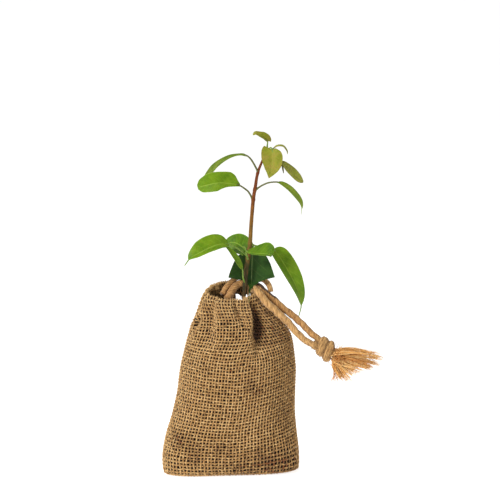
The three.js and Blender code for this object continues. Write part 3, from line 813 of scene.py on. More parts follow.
def cloth_place(warp, row):
    """Places on the cloth's middle layer, for coordinates counted in yarns."""
    warp, row = np.broadcast_arrays(np.asarray(warp, float), np.asarray(row, float))
    roll = np.clip((row - ROWS) / ROLL_ROWS, 0, 1)
    angle, share = cloth_spot(warp, row)
    height = bag_row(share)[0]
    inset = LAYER + (HEM_LAYER - LAYER) * (1 - np.cos(np.pi * roll)) / 2
    for seam in (0.0, WARPS / 2):
        off = (warp - seam + WARPS / 2) % WARPS - WARPS / 2
        inset = inset + 0.4 * np.exp(-((off / 1.0) ** 2)) * smoothstep(height, 4, 20)
    place = bag_place(angle, share, inset)
    place[..., 2] += (HEM_LAYER - LAYER) / 2 * np.sin(np.pi * roll)
    place[..., 2] += 0.86 * np.clip(1 - place[..., 2] / 3, 0, 1)
    under = np.clip(-row / UNDER_ROWS, 0, 1)[..., None]
    seam_line = np.stack([place[..., 0] * 0.97, place[..., 0] * math.sin(BAG_TURN), place[..., 2] + 0.2], -1)
    return place + (seam_line - place) * under


HALF_WAY_UP = cloth_place(np.array([0.75 * WARPS]), np.array([ROWS / 2]))[0]
print("middle of the front in mm", HALF_WAY_UP.round(1))


# %% The whole grid of the cloth
def cloth_grid():
    """The grid of places, and at each the outward direction, both yarn directions and the fold's depth."""
    rows = np.arange(-UNDER_ROWS * SUB, (ROWS + HEM_ROWS) * SUB + 1) / SUB
    warps = np.arange(WARPS * SUB) / SUB
    place = cloth_place(warps[None, :], rows[:, None])
    angle, share = cloth_spot(*np.broadcast_arrays(warps[None, :], rows[:, None]))
    folded = gathered(angle, bag_row(share)[0])
    round_bag = np.roll(place, -1, 1) - np.roll(place, 1, 1)
    up_bag = np.gradient(place, axis=0)
    return rows, place, unit(np.cross(round_bag, up_bag)), unit(round_bag), unit(up_bag), folded


rows, grid, outward, round_bag, up_bag, folded = cloth_grid()
print("warps", WARPS, "rows", ROWS, "grid", grid.shape)

# %% [markdown]
# ## The yarns
# Each yarn is a flattened five-sided tube that follows its line of the grid, moving out and in by 0.5
# mm to pass over and under. Its width follows the room it has. Spun jute is uneven, so every yarn
# wanders a little, has thick and thin stretches, and changes tone along its length.

# %% Weave
WEAVE_LIFT = 0.5
YARN_THICK = 0.42
YARN_COVER = 0.44  # share of the pitch that a yarn fills
YARN_SIDES = 5
HEM_FOLD = (0.79, 0.985)  # from and to, in shares of the pouch's height
HEM_FOLD_DEPTHS = (1.45, 1.85)
HEM_FOLD_RINGS = 14
HEM_FOLD_SIDES = 160
# The folded-in edge between the hem's layers is near-black brown: painted shade.
HEM_FOLD_FINISH = jute("jute_hem_shaded", "#2E1C0D", "#4A2F17")
GROUND = 0.03  # yarns under the bag are pressed flat on what it stands on
STAINS = [  # x, z and radius of the tea-coloured patches on the front
    (18, 68, 8), (-27, 20, 9), (23, 12, 10), (8, 3, 12), (34, 5, 12), (-6, 22, 7), (-38, 30, 6)]
STAIN_TONE = 1.6
# The front's right shoulder and right side turn away from the key light: their browner tone is painted shade.
SHADED_SHOULDER_FROM = (16, 98)  # x and z from which the front's right shoulder is browner
SHADED_SHOULDER_TONE = 0.55
SHADED_SIDE_FROM = 30  # x from which the front's right side is
SHADED_SIDE_TONE = 0.3
# Past these the cloth takes tone 4, painted shade deep in a fold and inside the mouth.
SHADE_FOLD = 6.6  # millimetres of fold beyond which the cloth is dark
SHADE_ROWS = 4.5  # rows past the rim beyond which it is
print("stains", len(STAINS))


# %% Tones of the yarns
def yarn_tones(places, row, fold, seed):
    """A tone for each stretch of each yarn: 0 straw to 3 stained, and 4 dark. Yarns are browner in a fold,
    inside the mouth and on the front's right side, and dark deep within, all painted shade; paler along the
    rim, painted highlight."""
    own = np.random.default_rng(seed)
    yarns, steps = places.shape[:2]
    base = own.normal(0.6, 0.22, (yarns, 1))
    at = np.arange(steps)[None, :]
    slow = 0.2 * np.sin(at / own.uniform(9, 30, (yarns, 1)) + own.uniform(0, 6.28, (yarns, 1)))
    spots = own.normal(0, 0.45, (yarns, steps // SUB + 2))
    value = base + slow + np.repeat(spots, SUB, axis=1)[:, :steps]
    # Painted shade: browner with the fold's depth and inside the mouth. Painted highlight: paler along the
    # rim.
    value = value + 1.5 * smoothstep(fold, 1.5, 9) + 0.9 * smoothstep(row, ROWS + 1.5, ROWS + 4)
    value = value - 0.9 * np.exp(-(((row - ROWS) / 1.6) ** 2))
    front = places[..., 1] < 0
    # Browner on the front's right shoulder and side: painted shade.
    shoulder = front & (places[..., 0] > SHADED_SHOULDER_FROM[0]) & (places[..., 2] > SHADED_SHOULDER_FROM[1])
    value = value + SHADED_SHOULDER_TONE * shoulder + SHADED_SIDE_TONE * (front & (places[..., 0] > SHADED_SIDE_FROM))
    for x, z, radius in STAINS:
        off = np.hypot(places[..., 0] - x, places[..., 2] - z) / radius
        stain = np.where(front, STAIN_TONE * np.exp(-off ** 2), 0)
        value = value + stain * own.uniform(0.4, 1, (yarns, steps))
    in_shade = (fold > SHADE_FOLD) | (row > ROWS + SHADE_ROWS)
    return np.where(in_shade, 4, np.clip(np.round(value), 0, 3)).astype(int)


print("tones", len(YARNS))


# %% Yarn maker
def lay_yarns(places, out, beside, room, phase, row, fold, closed, seed):
    """Skins yarns along arrays of places (yarns, steps, 3). phase is the weave's turn at each, row its
    row of the cloth and fold the depth of its fold."""
    own = np.random.default_rng(seed)
    yarns, steps = places.shape[:2]
    at = np.arange(steps)[None, :]
    wander = np.zeros((yarns, steps))
    slub = np.ones((yarns, steps))
    for waves in (1, 3, 7) if closed else (0.5, 1.3, 2.2):
        turn = at / steps * 2 * np.pi * waves * 3 if closed else at / SUB * waves
        wander += own.normal(0, 0.05, (yarns, 1)) * np.sin(turn + own.uniform(0, 6.28, (yarns, 1)))
        slub += own.normal(0, 0.05, (yarns, 1)) * np.sin(1.7 * turn + own.uniform(0, 6.28, (yarns, 1)))
    half_width = np.clip(YARN_COVER / 2 * room, 0.28, 0.68) * slub * own.normal(1, 0.05, (yarns, 1))
    half_thick = YARN_THICK * np.clip(room / YARN_PITCH, 0.6, 1) * np.sqrt(slub)
    lift = WEAVE_LIFT * np.cos(np.pi * phase)
    centres = places + beside * (wander * room)[..., None] + out * lift[..., None]
    points = tube_points(centres, beside, out, half_width, half_thick, YARN_SIDES)
    quads, caps = tube_faces(yarns, steps, YARN_SIDES, closed)
    tone = yarn_tones(places, row, fold, seed + 50)
    walls = tone if closed else tone[:, :-1]
    tones = np.repeat(walls.reshape(-1), YARN_SIDES)
    if caps is not None:
        tones = np.concatenate([tones, np.repeat(tone[:, 0], 2)])
    return points, quads, caps, tones


def weave_piece(name, made):
    points, quads, caps, tones = made
    points[:, 2] = np.maximum(points[:, 2], GROUND)
    piece = mesh_piece(name, points, quads, caps, YARNS, tones)
    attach(piece, "root")
    return piece


print("thickness of two crossed yarns in mm", 4 * YARN_THICK)


# %% Warps, wefts and hem
def weave_warps():
    lines = np.arange(WARPS) * SUB
    places, out, beside = (a[:, lines].transpose(1, 0, 2) for a in (grid, outward, round_bag))
    after = grid[:, (lines + SUB) % (WARPS * SUB)].transpose(1, 0, 2)
    before = grid[:, (lines - SUB) % (WARPS * SUB)].transpose(1, 0, 2)
    room = np.linalg.norm(after - before, axis=-1) / 2
    phase = rows[None, :] + np.arange(WARPS)[:, None]
    made = lay_yarns(places, out, beside, room, phase, rows[None, :], folded[:, lines].T, False, 31)
    return weave_piece("bag_warps", made)


def weave_wefts():
    lines = np.arange(0, grid.shape[0] - 1, SUB)
    places, out, beside = grid[lines], outward[lines], up_bag[lines]
    after = grid[np.minimum(lines + SUB, grid.shape[0] - 1)]
    before = grid[np.maximum(lines - SUB, 0)]
    room = np.linalg.norm(after - before, axis=-1) / 2
    phase = np.arange(WARPS * SUB)[None, :] / SUB + rows[lines][:, None] + 1
    made = lay_yarns(places, out, beside, room, phase, rows[lines][:, None], folded[lines], True, 32)
    return weave_piece("bag_wefts", made)


def fold_in_hem():
    """The folded-in edge between the two layers of the hem, which closes the holes of both. Its near-black
    brown is painted shade.
    """
    angles = np.arange(HEM_FOLD_SIDES) * 360.0 / HEM_FOLD_SIDES
    up, down = np.linspace(*HEM_FOLD, HEM_FOLD_RINGS), np.linspace(*HEM_FOLD[::-1], HEM_FOLD_RINGS)
    shares = np.concatenate([up, down])
    depth = np.repeat(HEM_FOLD_DEPTHS, HEM_FOLD_RINGS)
    rings = bag_place(angles[None, :], shares[:, None] + 0 * angles, depth[:, None] + 0 * angles)
    quads, _ = tube_faces(1, len(shares), len(angles), closed=True)
    return mesh_piece("bag_hem_fold", rings.reshape(-1, 3), quads, None, [HEM_FOLD_FINISH])


bag_warps = weave_warps()
bag_wefts = weave_wefts()
hem_fold = fold_in_hem()
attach(hem_fold, "root")
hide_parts("bag")
print("cloth triangles", 2 * len(bag_warps.data.polygons), 2 * len(bag_wefts.data.polygons))

# %% [markdown]
# ## The root ball
# Potting soil bound by fine roots fills the bag. It shows dark through the holes of the weave and inside
# the mouth, where its top is crumbly. A smooth skin along the bag, displaced by noise, gives that.


# %% Root ball
def soil_finish():
    material, tree, shader = new_finish("potting_soil_moist_and_shaded", Roughness=0.95)
    crumbs = mottle(tree, 1.6, 5.0)
    # Near black, darker than moist soil: partly the soil's own colour, partly painted shade in the weave's
    # holes and the mouth.
    dress(tree, shader, toned(tree, crumbs, 0.35, 0.68, "#080502", "#1E1209"), crumbs, 1.5)
    return material


SOIL = soil_finish()
SOIL_TOP = 119.0
SOIL_INSET = 2.4
SOIL_FOOT = 2.4
SOIL_SIDES = 120
SOIL_RINGS = 60
LID_RINGS = 13
print("height of the soil in mm", SOIL_TOP - SOIL_FOOT)


# %% Soil packed into the bag
def lumps(points, size, seed):
    """Smooth seeded bumps at points in mm, about -1 to 1, whose lumps measure size."""
    own = np.random.default_rng(seed)
    total = np.zeros(points.shape[:-1])
    for octave in (1.0, 0.55, 0.3):
        for _ in range(4):
            direction = unit(own.normal(0, 1, 3)) * 2 * np.pi / (size * octave)
            total += octave * np.sin(points @ direction + own.uniform(0, 6.28))
    return total / 4


def pack_root_ball():
    angles = np.arange(SOIL_SIDES) * 360.0 / SOIL_SIDES
    top_share = float(np.interp(SOIL_TOP, BAG_ROWS[:, 0], np.linspace(0, 1, len(BAG_ROWS))))
    shares = np.linspace(0.02, top_share, SOIL_RINGS)
    wall = bag_place(angles[None, :], shares[:, None] + 0 * angles[None, :], SOIL_INSET)
    wall[..., 2] = np.clip(wall[..., 2], SOIL_FOOT, SOIL_TOP)
    middle_top = np.array([wall[-1, :, 0].mean(), wall[-1, :, 1].mean(), SOIL_TOP])
    middle_foot = np.array([wall[0, :, 0].mean(), wall[0, :, 1].mean(), SOIL_FOOT])
    shrink = np.linspace(1, 0.02, LID_RINGS + 1)[1:, None, None]
    lid = middle_top + (wall[-1] - middle_top) * shrink
    lid[..., 2] = SOIL_TOP + 1.1 * lumps(lid, 7.0, 41) * (1 - shrink[..., 0] ** 6)
    rings = np.vstack([(middle_foot + (wall[0] - middle_foot) * 0.02)[None], wall, lid])
    quads, caps = tube_faces(1, len(rings), SOIL_SIDES)
    ball = mesh_piece("root_ball_soil", rings.reshape(-1, 3), quads, caps, [SOIL])
    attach(ball, "root")
    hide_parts("root_ball")
    return ball


root_ball = pack_root_ball()
print("root ball faces", len(root_ball.data.polygons))

# %% [markdown]
# ## The fleece at the stem's foot
# Three bits of white show where the stem goes into the bag: the top of a thin non-woven fleece that is
# wrapped round the roots and crumpled about the stem. It is a ring-shaped sheet with folds of uneven
# depth, whose torn top stands up in three tongues, a broad one at the left and two narrow ones, and is
# low at the back. A little light of its own stands for the light that passes through so thin a sheet.


# %% Fleece
def fleece_finish():
    glow = {"Emission Color": linear("#FFFFFF"), "Emission Strength": 0.35}
    material, tree, shader = new_finish("root_fleece_spunbond", Roughness=0.9, **glow)
    web = mottle(tree, 0.8, 4.0)
    dress(tree, shader, toned(tree, web, 0.0, 1.0, "#EDEBE4", "#FFFFFF"), web, 0.2)
    return material


FLEECE = fleece_finish()
WRAP_MIDDLE = (9.4, 1.4)
WRAP_HEIGHT = 10.5
WRAP_PEAKS = [(226, 30, 5.8), (298, 11, 5.0), (344, 12, 5.4), (120, 40, 2.5)]  # angle, half width, height
WRAP_SIDES = 120
WRAP_LEVELS = 24
WRAP_RADIUS = 5.0


def fold_fleece():
    turn = 2 * np.pi * np.arange(WRAP_SIDES) / WRAP_SIDES
    levels = np.concatenate([np.linspace(0, 1, WRAP_LEVELS), np.linspace(1, 0, WRAP_LEVELS)])
    outer = np.concatenate([np.ones(WRAP_LEVELS), np.zeros(WRAP_LEVELS)])
    level, a = levels[:, None], turn[None, :]
    degrees = np.degrees(a)
    flare = 2.2 * np.exp(-((off_angle(degrees, 222) / 26) ** 2)) * level ** 1.5
    peaks = sum(high * np.exp(-((off_angle(degrees, middle) / wide) ** 2))
                for middle, wide, high in WRAP_PEAKS)
    frill = (0.35 * np.cos(7 * a) + 0.25 * np.cos(11 * a + 1) + 0.12 * np.sin(17 * a)) * level
    radius = WRAP_RADIUS + flare + frill - 0.5 * np.sin(np.pi * level) - 0.5 * (1 - outer[:, None])
    top = WRAP_HEIGHT + peaks - 0.3 * np.sin(8 * a + 1)
    rings = np.stack([WRAP_MIDDLE[0] + radius * np.cos(a), WRAP_MIDDLE[1] + 0.9 * radius * np.sin(a),
                      SOIL_TOP + 0.3 + level * top + 0 * a], -1)
    quads, _ = tube_faces(1, len(levels), WRAP_SIDES, closed=True)
    wrap = mesh_piece("root_fleece", rings.reshape(-1, 3), quads, None, [FLEECE])
    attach(wrap, "root")
    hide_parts("root_wrap")
    return wrap


fleece = fold_fleece()
print("fleece faces", len(fleece.data.polygons))

# %% [markdown]
# ## The stem
# The stem is one tapering limb with a slight flare at its foot. Its bark is thin: grey-green and dull
# near the soil, olive in the middle, red-brown in the young wood above, with a swelling at each
# leaf stalk. The colour follows height by one chain of blends.

# %% Bark
BARK_TONES = [  # height, colour: from the foot up
    (124, "#3A4020"), (136, "#2C2A18"), (150, "#38341A"), (164, "#4A4018"), (176, "#6C521C"),
    (192, "#6E4814"), (206, "#643008"), (232, "#5A2406"), (244, "#6E4418")]


def bark_finish():
    material, tree, shader = new_finish("young_bark_thin", Roughness=0.7, **{"Specular IOR Level": 0.25})
    spot = add_node(tree, "ShaderNodeTexCoord").outputs["Object"]
    height = add_node(tree, "ShaderNodeSeparateXYZ", links={"Vector": spot}).outputs["Z"]
    colour = BARK_TONES[0][1]
    for (low, _), (high, tone) in zip(BARK_TONES, BARK_TONES[1:]):
        colour = toned(tree, height, low * MM, high * MM, colour, tone)
    streak = mottle(tree, 1.2, 4.0, (1.0, 1.0, 0.2))
    colour = toned(tree, streak, 0.5, 0.95, colour, "#A0662A")
    dark = mottle(tree, 1.8, 3.0, (1.0, 1.0, 0.35))
    colour = toned(tree, dark, 0.52, 1.0, colour, "#2C1608")
    dress(tree, shader, colour, streak, 0.3)
    return material


BARK = bark_finish()
print("tones up the stem", len(BARK_TONES))

# %% Stem
STEM_AXIS = [(8.6, 1, 119.3), (9.6, 1, 128), (10.4, 1, 141), (11.2, 1, 152), (14.1, 1, 171.5),
             (15, 1, 186.5), (16.4, 0.5, 204.8), (18, 0, 214.8), (19.9, 0, 225.5), (23, 0, 234.1),
             (26.6, 0, 244.5)]
STEM_RADII = [3.2, 2, 1.75, 1.7, 1.5, 1.4, 1.35, 1.25, 1.05, 0.85, 0.6]
STEM_NODES = [142, 162, 168, 172.6, 205.6, 213.1, 225.7, 241]
STEM_SIDES = 24
STEM_RINGS = 220


def grow_stem():
    shares = np.linspace(0, 1, STEM_RINGS)
    path = curve_through(STEM_AXIS, shares)
    radius = curve_through([(r, 0, 0) for r in STEM_RADII], shares)[:, 0]
    side, upper = carried_frame(path)
    turn = 2 * np.pi * np.arange(STEM_SIDES) / STEM_SIDES
    z = path[:, 2][:, None]
    swell = sum(0.28 * np.exp(-(((z - node) / 1.1) ** 2)) for node in STEM_NODES)
    ridges = (0.05 * np.cos(3 * turn + z / 9) + 0.04 * np.cos(5 * turn - z / 6)
              + 0.02 * np.cos(11 * turn + z / 3))
    radius = radius[:, None] * (1 + ridges + swell / 1.4)
    radius = radius * (1 - 0.5 * smoothstep(shares, 0.985, 1)[:, None])
    rings = round_rings(path, side, upper, radius, turn)
    quads, caps = tube_faces(1, len(path), STEM_SIDES)
    stem = mesh_piece("stem_bark", rings.reshape(-1, 3), quads, caps, [BARK])
    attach(stem, "root")
    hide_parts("stem")
    return stem


stem = grow_stem()
print("stem faces", len(stem.data.polygons))

# %% [markdown]
# ## Leaf finishes
# A fresh leaf is satin, not glossy: roughness 0.45 to 0.6 under a thin wax. Light comes through it, which a
# little subsurface scatter gives. The midrib and side veins are paler. They are drawn from each
# blade's own coordinates, stored at its points: the share of its length and how far across it lies.


# %% Leaf finishes
VEIN_SLOPE = 1.7


def leaf_finish(name, deep, light, vein, edge, roughness=0.45, veins=9.0, side_veins=0.3, midrib_wide=0.06,
                blush=None):
    wax = {"Specular IOR Level": 0.2, "Subsurface Weight": 0.08, "Subsurface Scale": 0.4 * MM}
    material, tree, shader = new_finish(name, Roughness=roughness, **wax)
    place = add_node(tree, "ShaderNodeAttribute", {"attribute_name": "place"}).outputs["Vector"]
    split = add_node(tree, "ShaderNodeSeparateXYZ", links={"Vector": place})
    along, across = split.outputs["X"], split.outputs["Y"]
    aside = add_node(tree, MATH, {"operation": "ABSOLUTE"}, {0: across}).outputs[0]
    tissue = toned(tree, mottle(tree, 9.0, 3.0), 0.35, 0.68, deep, light)
    if blush:
        tissue = toned(tree, mottle(tree, 6.0, 2.0), 0.42, 0.62, tissue, blush)
    rank = add_node(tree, MATH, {"operation": "MULTIPLY", 1: veins}, {0: along}).outputs[0]
    slope = add_node(tree, MATH, {"operation": "MULTIPLY", 1: -VEIN_SLOPE}, {0: aside}).outputs[0]
    beat = add_node(tree, MATH, {"operation": "ADD"}, {0: rank, 1: slope}).outputs[0]
    saw = add_node(tree, MATH, {"operation": "PINGPONG", 1: 0.5}, {0: beat}).outputs[0]
    fade = add_node(tree, RANGE, {"From Min": 1.0, "From Max": 0.55}, {"Value": aside}).outputs[0]
    line = add_node(tree, RANGE, {"From Min": 0.075, "From Max": 0.0}, {"Value": saw}).outputs[0]
    side_vein = add_node(tree, MATH, {"operation": "MULTIPLY"}, {0: line, 1: fade}).outputs[0]
    faint = add_node(tree, MATH, {"operation": "MULTIPLY", 1: side_veins}, {0: side_vein}).outputs[0]
    span = {"From Min": midrib_wide, "From Max": midrib_wide / 4}
    midrib = add_node(tree, RANGE, span, {"Value": aside}).outputs[0]
    strong = add_node(tree, MATH, {"operation": "MULTIPLY", 1: 0.75}, {0: midrib}).outputs[0]
    ribs = add_node(tree, MATH, {"operation": "MAXIMUM"}, {0: faint, 1: strong}).outputs[0]
    rim = add_node(tree, RANGE, {"From Min": 0.93, "From Max": 1.0}, {"Value": aside}).outputs[0]
    margin = add_node(tree, MATH, {"operation": "MULTIPLY", 1: 0.8}, {0: rim}).outputs[0]
    veined = add_node(tree, MIX, {"data_type": "RGBA", MIX_TO: linear(vein)},
                      {MIX_SHARE: ribs, MIX_FROM: tissue}).outputs[MIX_RESULT]
    colour = add_node(tree, MIX, {"data_type": "RGBA", MIX_TO: linear(edge)},
                      {MIX_SHARE: margin, MIX_FROM: veined}).outputs[MIX_RESULT]
    dress(tree, shader, colour, mottle(tree, 0.9, 3.0), 0.12)
    return material


print("a side vein leaves the midrib", VEIN_SLOPE, "ranks before it meets the margin")

# %% The plant's greens, with a darker copy of the fresh green as painted shade
LEAF = leaf_finish("leaf_fresh_green", "#52740A", "#6E8C18", "#8FA83E", "#8FA84A")
LEAF_LIGHT = leaf_finish("leaf_fresh_light", "#66801A", "#849830", "#8E9E48", "#7C8C3C", 0.6, side_veins=0.15)
# A darker copy of the fresh green: painted shade, for the low back leaf and the low front one.
LEAF_DEEP = leaf_finish("leaf_shaded_green", "#40620A", "#547410", "#86A23C", "#8FA84A")
LEAF_OLIVE = leaf_finish("leaf_olive_green", "#4A6010", "#667822", "#7E9038", "#7C8C3C", 0.6, side_veins=0.15)
LEAF_DARK = leaf_finish("leaf_old_waxy", "#1E3C0A", "#2E4E14", "#94A66A", "#2A4A18", 0.45, 7.0, 0.06, 0.018)
LEAF_YOUNG = leaf_finish("leaf_young_olive", "#6C7214", "#848628", "#8A8C34", "#7E7A30", 0.5, 8.0, 0.25,
                         blush="#867C2E")
LEAF_TAN = leaf_finish("leaf_young_tan", "#7A8024", "#969640", "#8C8840", "#7A6E30", 0.5, 8.0, 0.25,
                       blush="#868838")
print("leaf finishes", 7)

# %% [markdown]
# ## Leaf blades
# Every blade is its own mesh. Its midrib is a curve in space, its halves are raised like an open book,
# and its outline comes from one formula: widest at a share of its length, rounder or slimmer by a
# power. The blade has true thickness, a groove over the midrib, quilting between the side veins
# and a margin that waves a little.

# %% Measures and outlines of blades
BLADE_STEPS = 56
BLADE_ACROSS = 20
BLADE_THICK = 0.5
QUILT_DEEP = 0.09
GROOVE_DEEP = 0.22
GROOVE_WIDE = 0.5
RIB_HIGH = 0.3
RIB_WIDE = 0.45


def ovate(widest, power):
    def outline(share):
        s = np.clip(share, 0, 1)
        rise = (s / widest) ** (widest * power)
        fall = ((1 - s) / (1 - widest)) ** ((1 - widest) * power)
        return rise * fall
    return outline


SHIELD = np.array([(0, 0.05), (0.06, 0.2), (0.13, 0.6), (0.22, 0.78), (0.33, 0.92), (0.41, 1), (0.45, 0.6),
                   (0.5, 0.28), (0.56, 0.12), (0.62, 0.045), (0.72, 0.02), (1, 0.012)])


def shield(share):
    return np.interp(share, SHIELD[:, 0], SHIELD[:, 1])


def dripped(outline, drip=0.1):
    """The same outline, shorter, with a thread-thin drip tip over the last part of its length."""
    def tipped(share):
        body = outline(np.clip(share / (1 - drip), 0, 1))
        return np.maximum(body, 0.14 * (1.3 - share) * (share > 0.6))
    return tipped


def through(*points):
    """An outline rounded through a few points: share of the length, share of the half width."""
    shares, widths = np.array(points, float).T
    return lambda share: sum(part * np.interp(share + shift, shares, widths)
                             for shift, part in ((-0.03, 0.25), (0.0, 0.5), (0.03, 0.25)))


print("half way along, an ovate leaf has", round(float(ovate(0.35, 1.3)(0.5)), 2), "of its full width")


# %% Blade maker
def blade(name, midrib, half_width, outline, tilt, fold, finish, lobe=(0.0, 0.0), wave=0.3, veins=9,
          seed=0):
    """A leaf blade along its midrib. tilt leans it back from facing the front, fold raises its halves.
    The outline is one for both halves or a pair; the first half is the upper or left one of a leaf that
    points left or down, and the lower one of a leaf that points right. lobe reaches back past the base."""
    own = np.random.default_rng(100 + seed)
    shares = np.linspace(0, 1, BLADE_STEPS + 1)
    centre = curve_through(midrib, shares)
    along = unit(np.gradient(centre, axis=0))
    front = unit(np.array([0.0, -1.0, 0.0]) + along * along[:, 1:2])
    level = np.cross(along, front)
    lean = np.radians(np.interp(shares, [0, 1], tilt))[:, None]
    side = level * np.cos(lean) - front * np.sin(lean)
    face = front * np.cos(lean) + level * np.sin(lean)
    across = np.sin(np.linspace(-np.pi / 2, np.pi / 2, BLADE_ACROSS + 1))[None, :]
    first, second = outline if isinstance(outline, tuple) else (outline, outline)
    width = np.where(across > 0, first(shares)[:, None], second(shares)[:, None])
    reach = np.maximum(half_width * width, 0.16)
    raised = math.radians(fold)
    near_base = np.maximum(0, 1 - shares / 0.4)[:, None] ** 2
    back = np.where(across > 0, *lobe) * near_base * np.minimum(1, reach / 2)
    aside = np.abs(across)
    phase = own.uniform(0, 6.28, 2)[(across[0] > 0).astype(int)][None, :]
    ripple = wave * aside ** 3 * np.sin(shares[:, None] * 17 + phase) * np.minimum(1, reach / 4)
    beat = np.cos(2 * np.pi * (veins * shares[:, None] - VEIN_SLOPE * aside))
    quilt = -QUILT_DEEP * beat * np.clip(1.2 - aside, 0, 1) * np.minimum(1, reach / 4)
    groove = -GROOVE_DEEP * np.exp(-((across * reach / GROOVE_WIDE) ** 2))
    height = ripple + quilt + groove
    thick = BLADE_THICK / 2 * (1 - 0.65 * aside ** 2) * np.minimum(1, 0.35 + reach / 3)
    rib = RIB_HIGH * np.exp(-((across * reach / RIB_WIDE) ** 2)) * (1 - 0.75 * shares[:, None])
    top, foot = height + thick, height - thick - rib

    def surface(offset):
        return (centre[:, None] + (across * reach * math.cos(raised))[..., None] * side[:, None]
                + (aside * reach * math.sin(raised) + offset)[..., None] * face[:, None]
                - (back * across ** 2)[..., None] * along[:, None])

    upper, lower = surface(top), surface(foot)
    rings = np.concatenate([upper, lower[:, ::-1][:, 1:-1]], axis=1)
    place = np.stack(np.broadcast_arrays(shares[:, None], across, 0 * top), -1)
    places = np.concatenate([place, place[:, ::-1][:, 1:-1]], axis=1)
    sides = rings.shape[1]
    quads, caps = tube_faces(1, len(rings), sides)
    piece = mesh_piece(name, rings.reshape(-1, 3), quads, caps, [finish], places=places.reshape(-1, 3))
    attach(piece, "root")
    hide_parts("leaf_" + name)
    return piece


print("faces in one blade", BLADE_STEPS * 2 * BLADE_ACROSS)

# %% The long-stalked upper leaves
blade("upper_left", [(11.9, 2, 238.1), (6.1, 4, 238.6), (-2.1, 8, 235.7), (-11, 12, 229.2),
      (-18.2, 15, 220.3), (-22.7, 16, 211.2)], 4.9, through((0, 0.2), (0.1, 0.55), (0.24, 0.36),
      (0.5, 0.85), (0.66, 0.95), (0.8, 0.7), (0.92, 0.4), (1, 0.1)), (80, 62), 5, LEAF_OLIVE,
      wave=0.1, seed=1)
blade("middle_left", [(6.7, -3, 216.7), (-0.7, -6, 218.5), (-9, -10, 219.6), (-16.9, -13, 218.6),
      (-24.3, -14, 216.9)], 9, (through((0, 0.12), (0.12, 0.77), (0.23, 1), (0.47, 0.99), (0.73, 0.94),
      (0.86, 0.74), (0.94, 0.56), (1, 0.16)), through((0, 0.1), (0.3, 0.33), (0.45, 0.58), (0.6, 0.8),
      (0.75, 0.78), (0.86, 0.68), (0.94, 0.54), (1, 0.16))), (36, 36), 8, LEAF, wave=0.3, seed=2)
blade("middle_right", [(34, -2, 219.1), (38.3, -3, 217.8), (44.2, -5, 213.4), (49.7, -6, 207.5),
      (52.3, -6, 201.7), (52.0, -5, 195.2)], 4.4, dripped(ovate(0.5, 1.7), 0.12), (-72, -62), 8,
      LEAF_LIGHT, wave=0.12, seed=3)
print("upper leaves", 3)

# %% The low whorl
blade("lower_left", [(-1.7, -4, 172.9), (-8.6, -8, 173.4), (-15.9, -12, 171.4), (-23.4, -15, 168),
      (-29.6, -16, 164.6), (-34, -16, 159)], 9.4, dripped(ovate(0.45, 1.4), 0.14), (50, 50), 29, LEAF,
      wave=0.12, seed=4)
blade("lower_back", [(11, 4.5, 166.6), (7.2, 10, 169.4), (3.4, 17, 170.2), (-1.2, 25, 168.8),
      (-6.3, 31, 165)], 8.8, (ovate(0.3, 1.2), through((0, 0.5), (0.1, 0.8), (0.28, 1), (0.5, 0.88),
      (0.75, 0.5), (1, 0.05))), (35, 45), 4, LEAF_DEEP, lobe=(4.5, 3.5), wave=0.1, seed=5)
blade("lower_small", [(8.7, -4, 153.6), (6.4, -5.5, 158), (3.1, -7.5, 163.8), (-0.4, -9, 168.8),
      (-4.2, -9.5, 172.6)], 3, ovate(0.45, 1.7), (50, 50), 15, LEAF, wave=0.05, seed=6)
blade("lower_front", [(10.4, -4.6, 167.1), (15.2, -9, 167.2), (20, -14, 167.7), (24.8, -19, 168.2),
      (28.2, -22, 168.2), (30.1, -23, 167.6)], 9.6, (through((0, 0.05), (0.3, 0.2), (1, 0.2)),
      through((0, 0.08), (0.12, 0.36), (0.3, 0.72), (0.48, 0.97), (0.62, 1), (0.78, 0.84), (0.9, 0.6),
      (1, 0.2))), (-55, -50), 15, LEAF_DEEP, wave=0.05, seed=7)
blade("lower_right", [(31.1, -5, 169.5), (35.7, -6, 163.9), (41.9, -8, 154.2), (46.9, -9, 144.8),
      (50.8, -9, 135), (51.9, -8, 127.3), (50.3, -7, 119.2)], 9.2, dripped(ovate(0.35, 1.3), 0.17),
      (-48, -50), 19, LEAF, wave=0.1, seed=8)
blade("dark_hanging", [(15.8, 7, 168.6), (15.8, 7.6, 162.9), (15.6, 7, 155.3), (15.4, 5.6, 148),
      (15.3, 4.1, 142.9), (14.3, -3, 139.1), (13.6, -10, 137.2), (13.4, -14.6, 135),
      (13.4, -16.2, 131.2)], 17.5, shield, (0, 0), 6, LEAF_DARK, wave=0.15, veins=7, seed=9)
print("low leaves", 6)

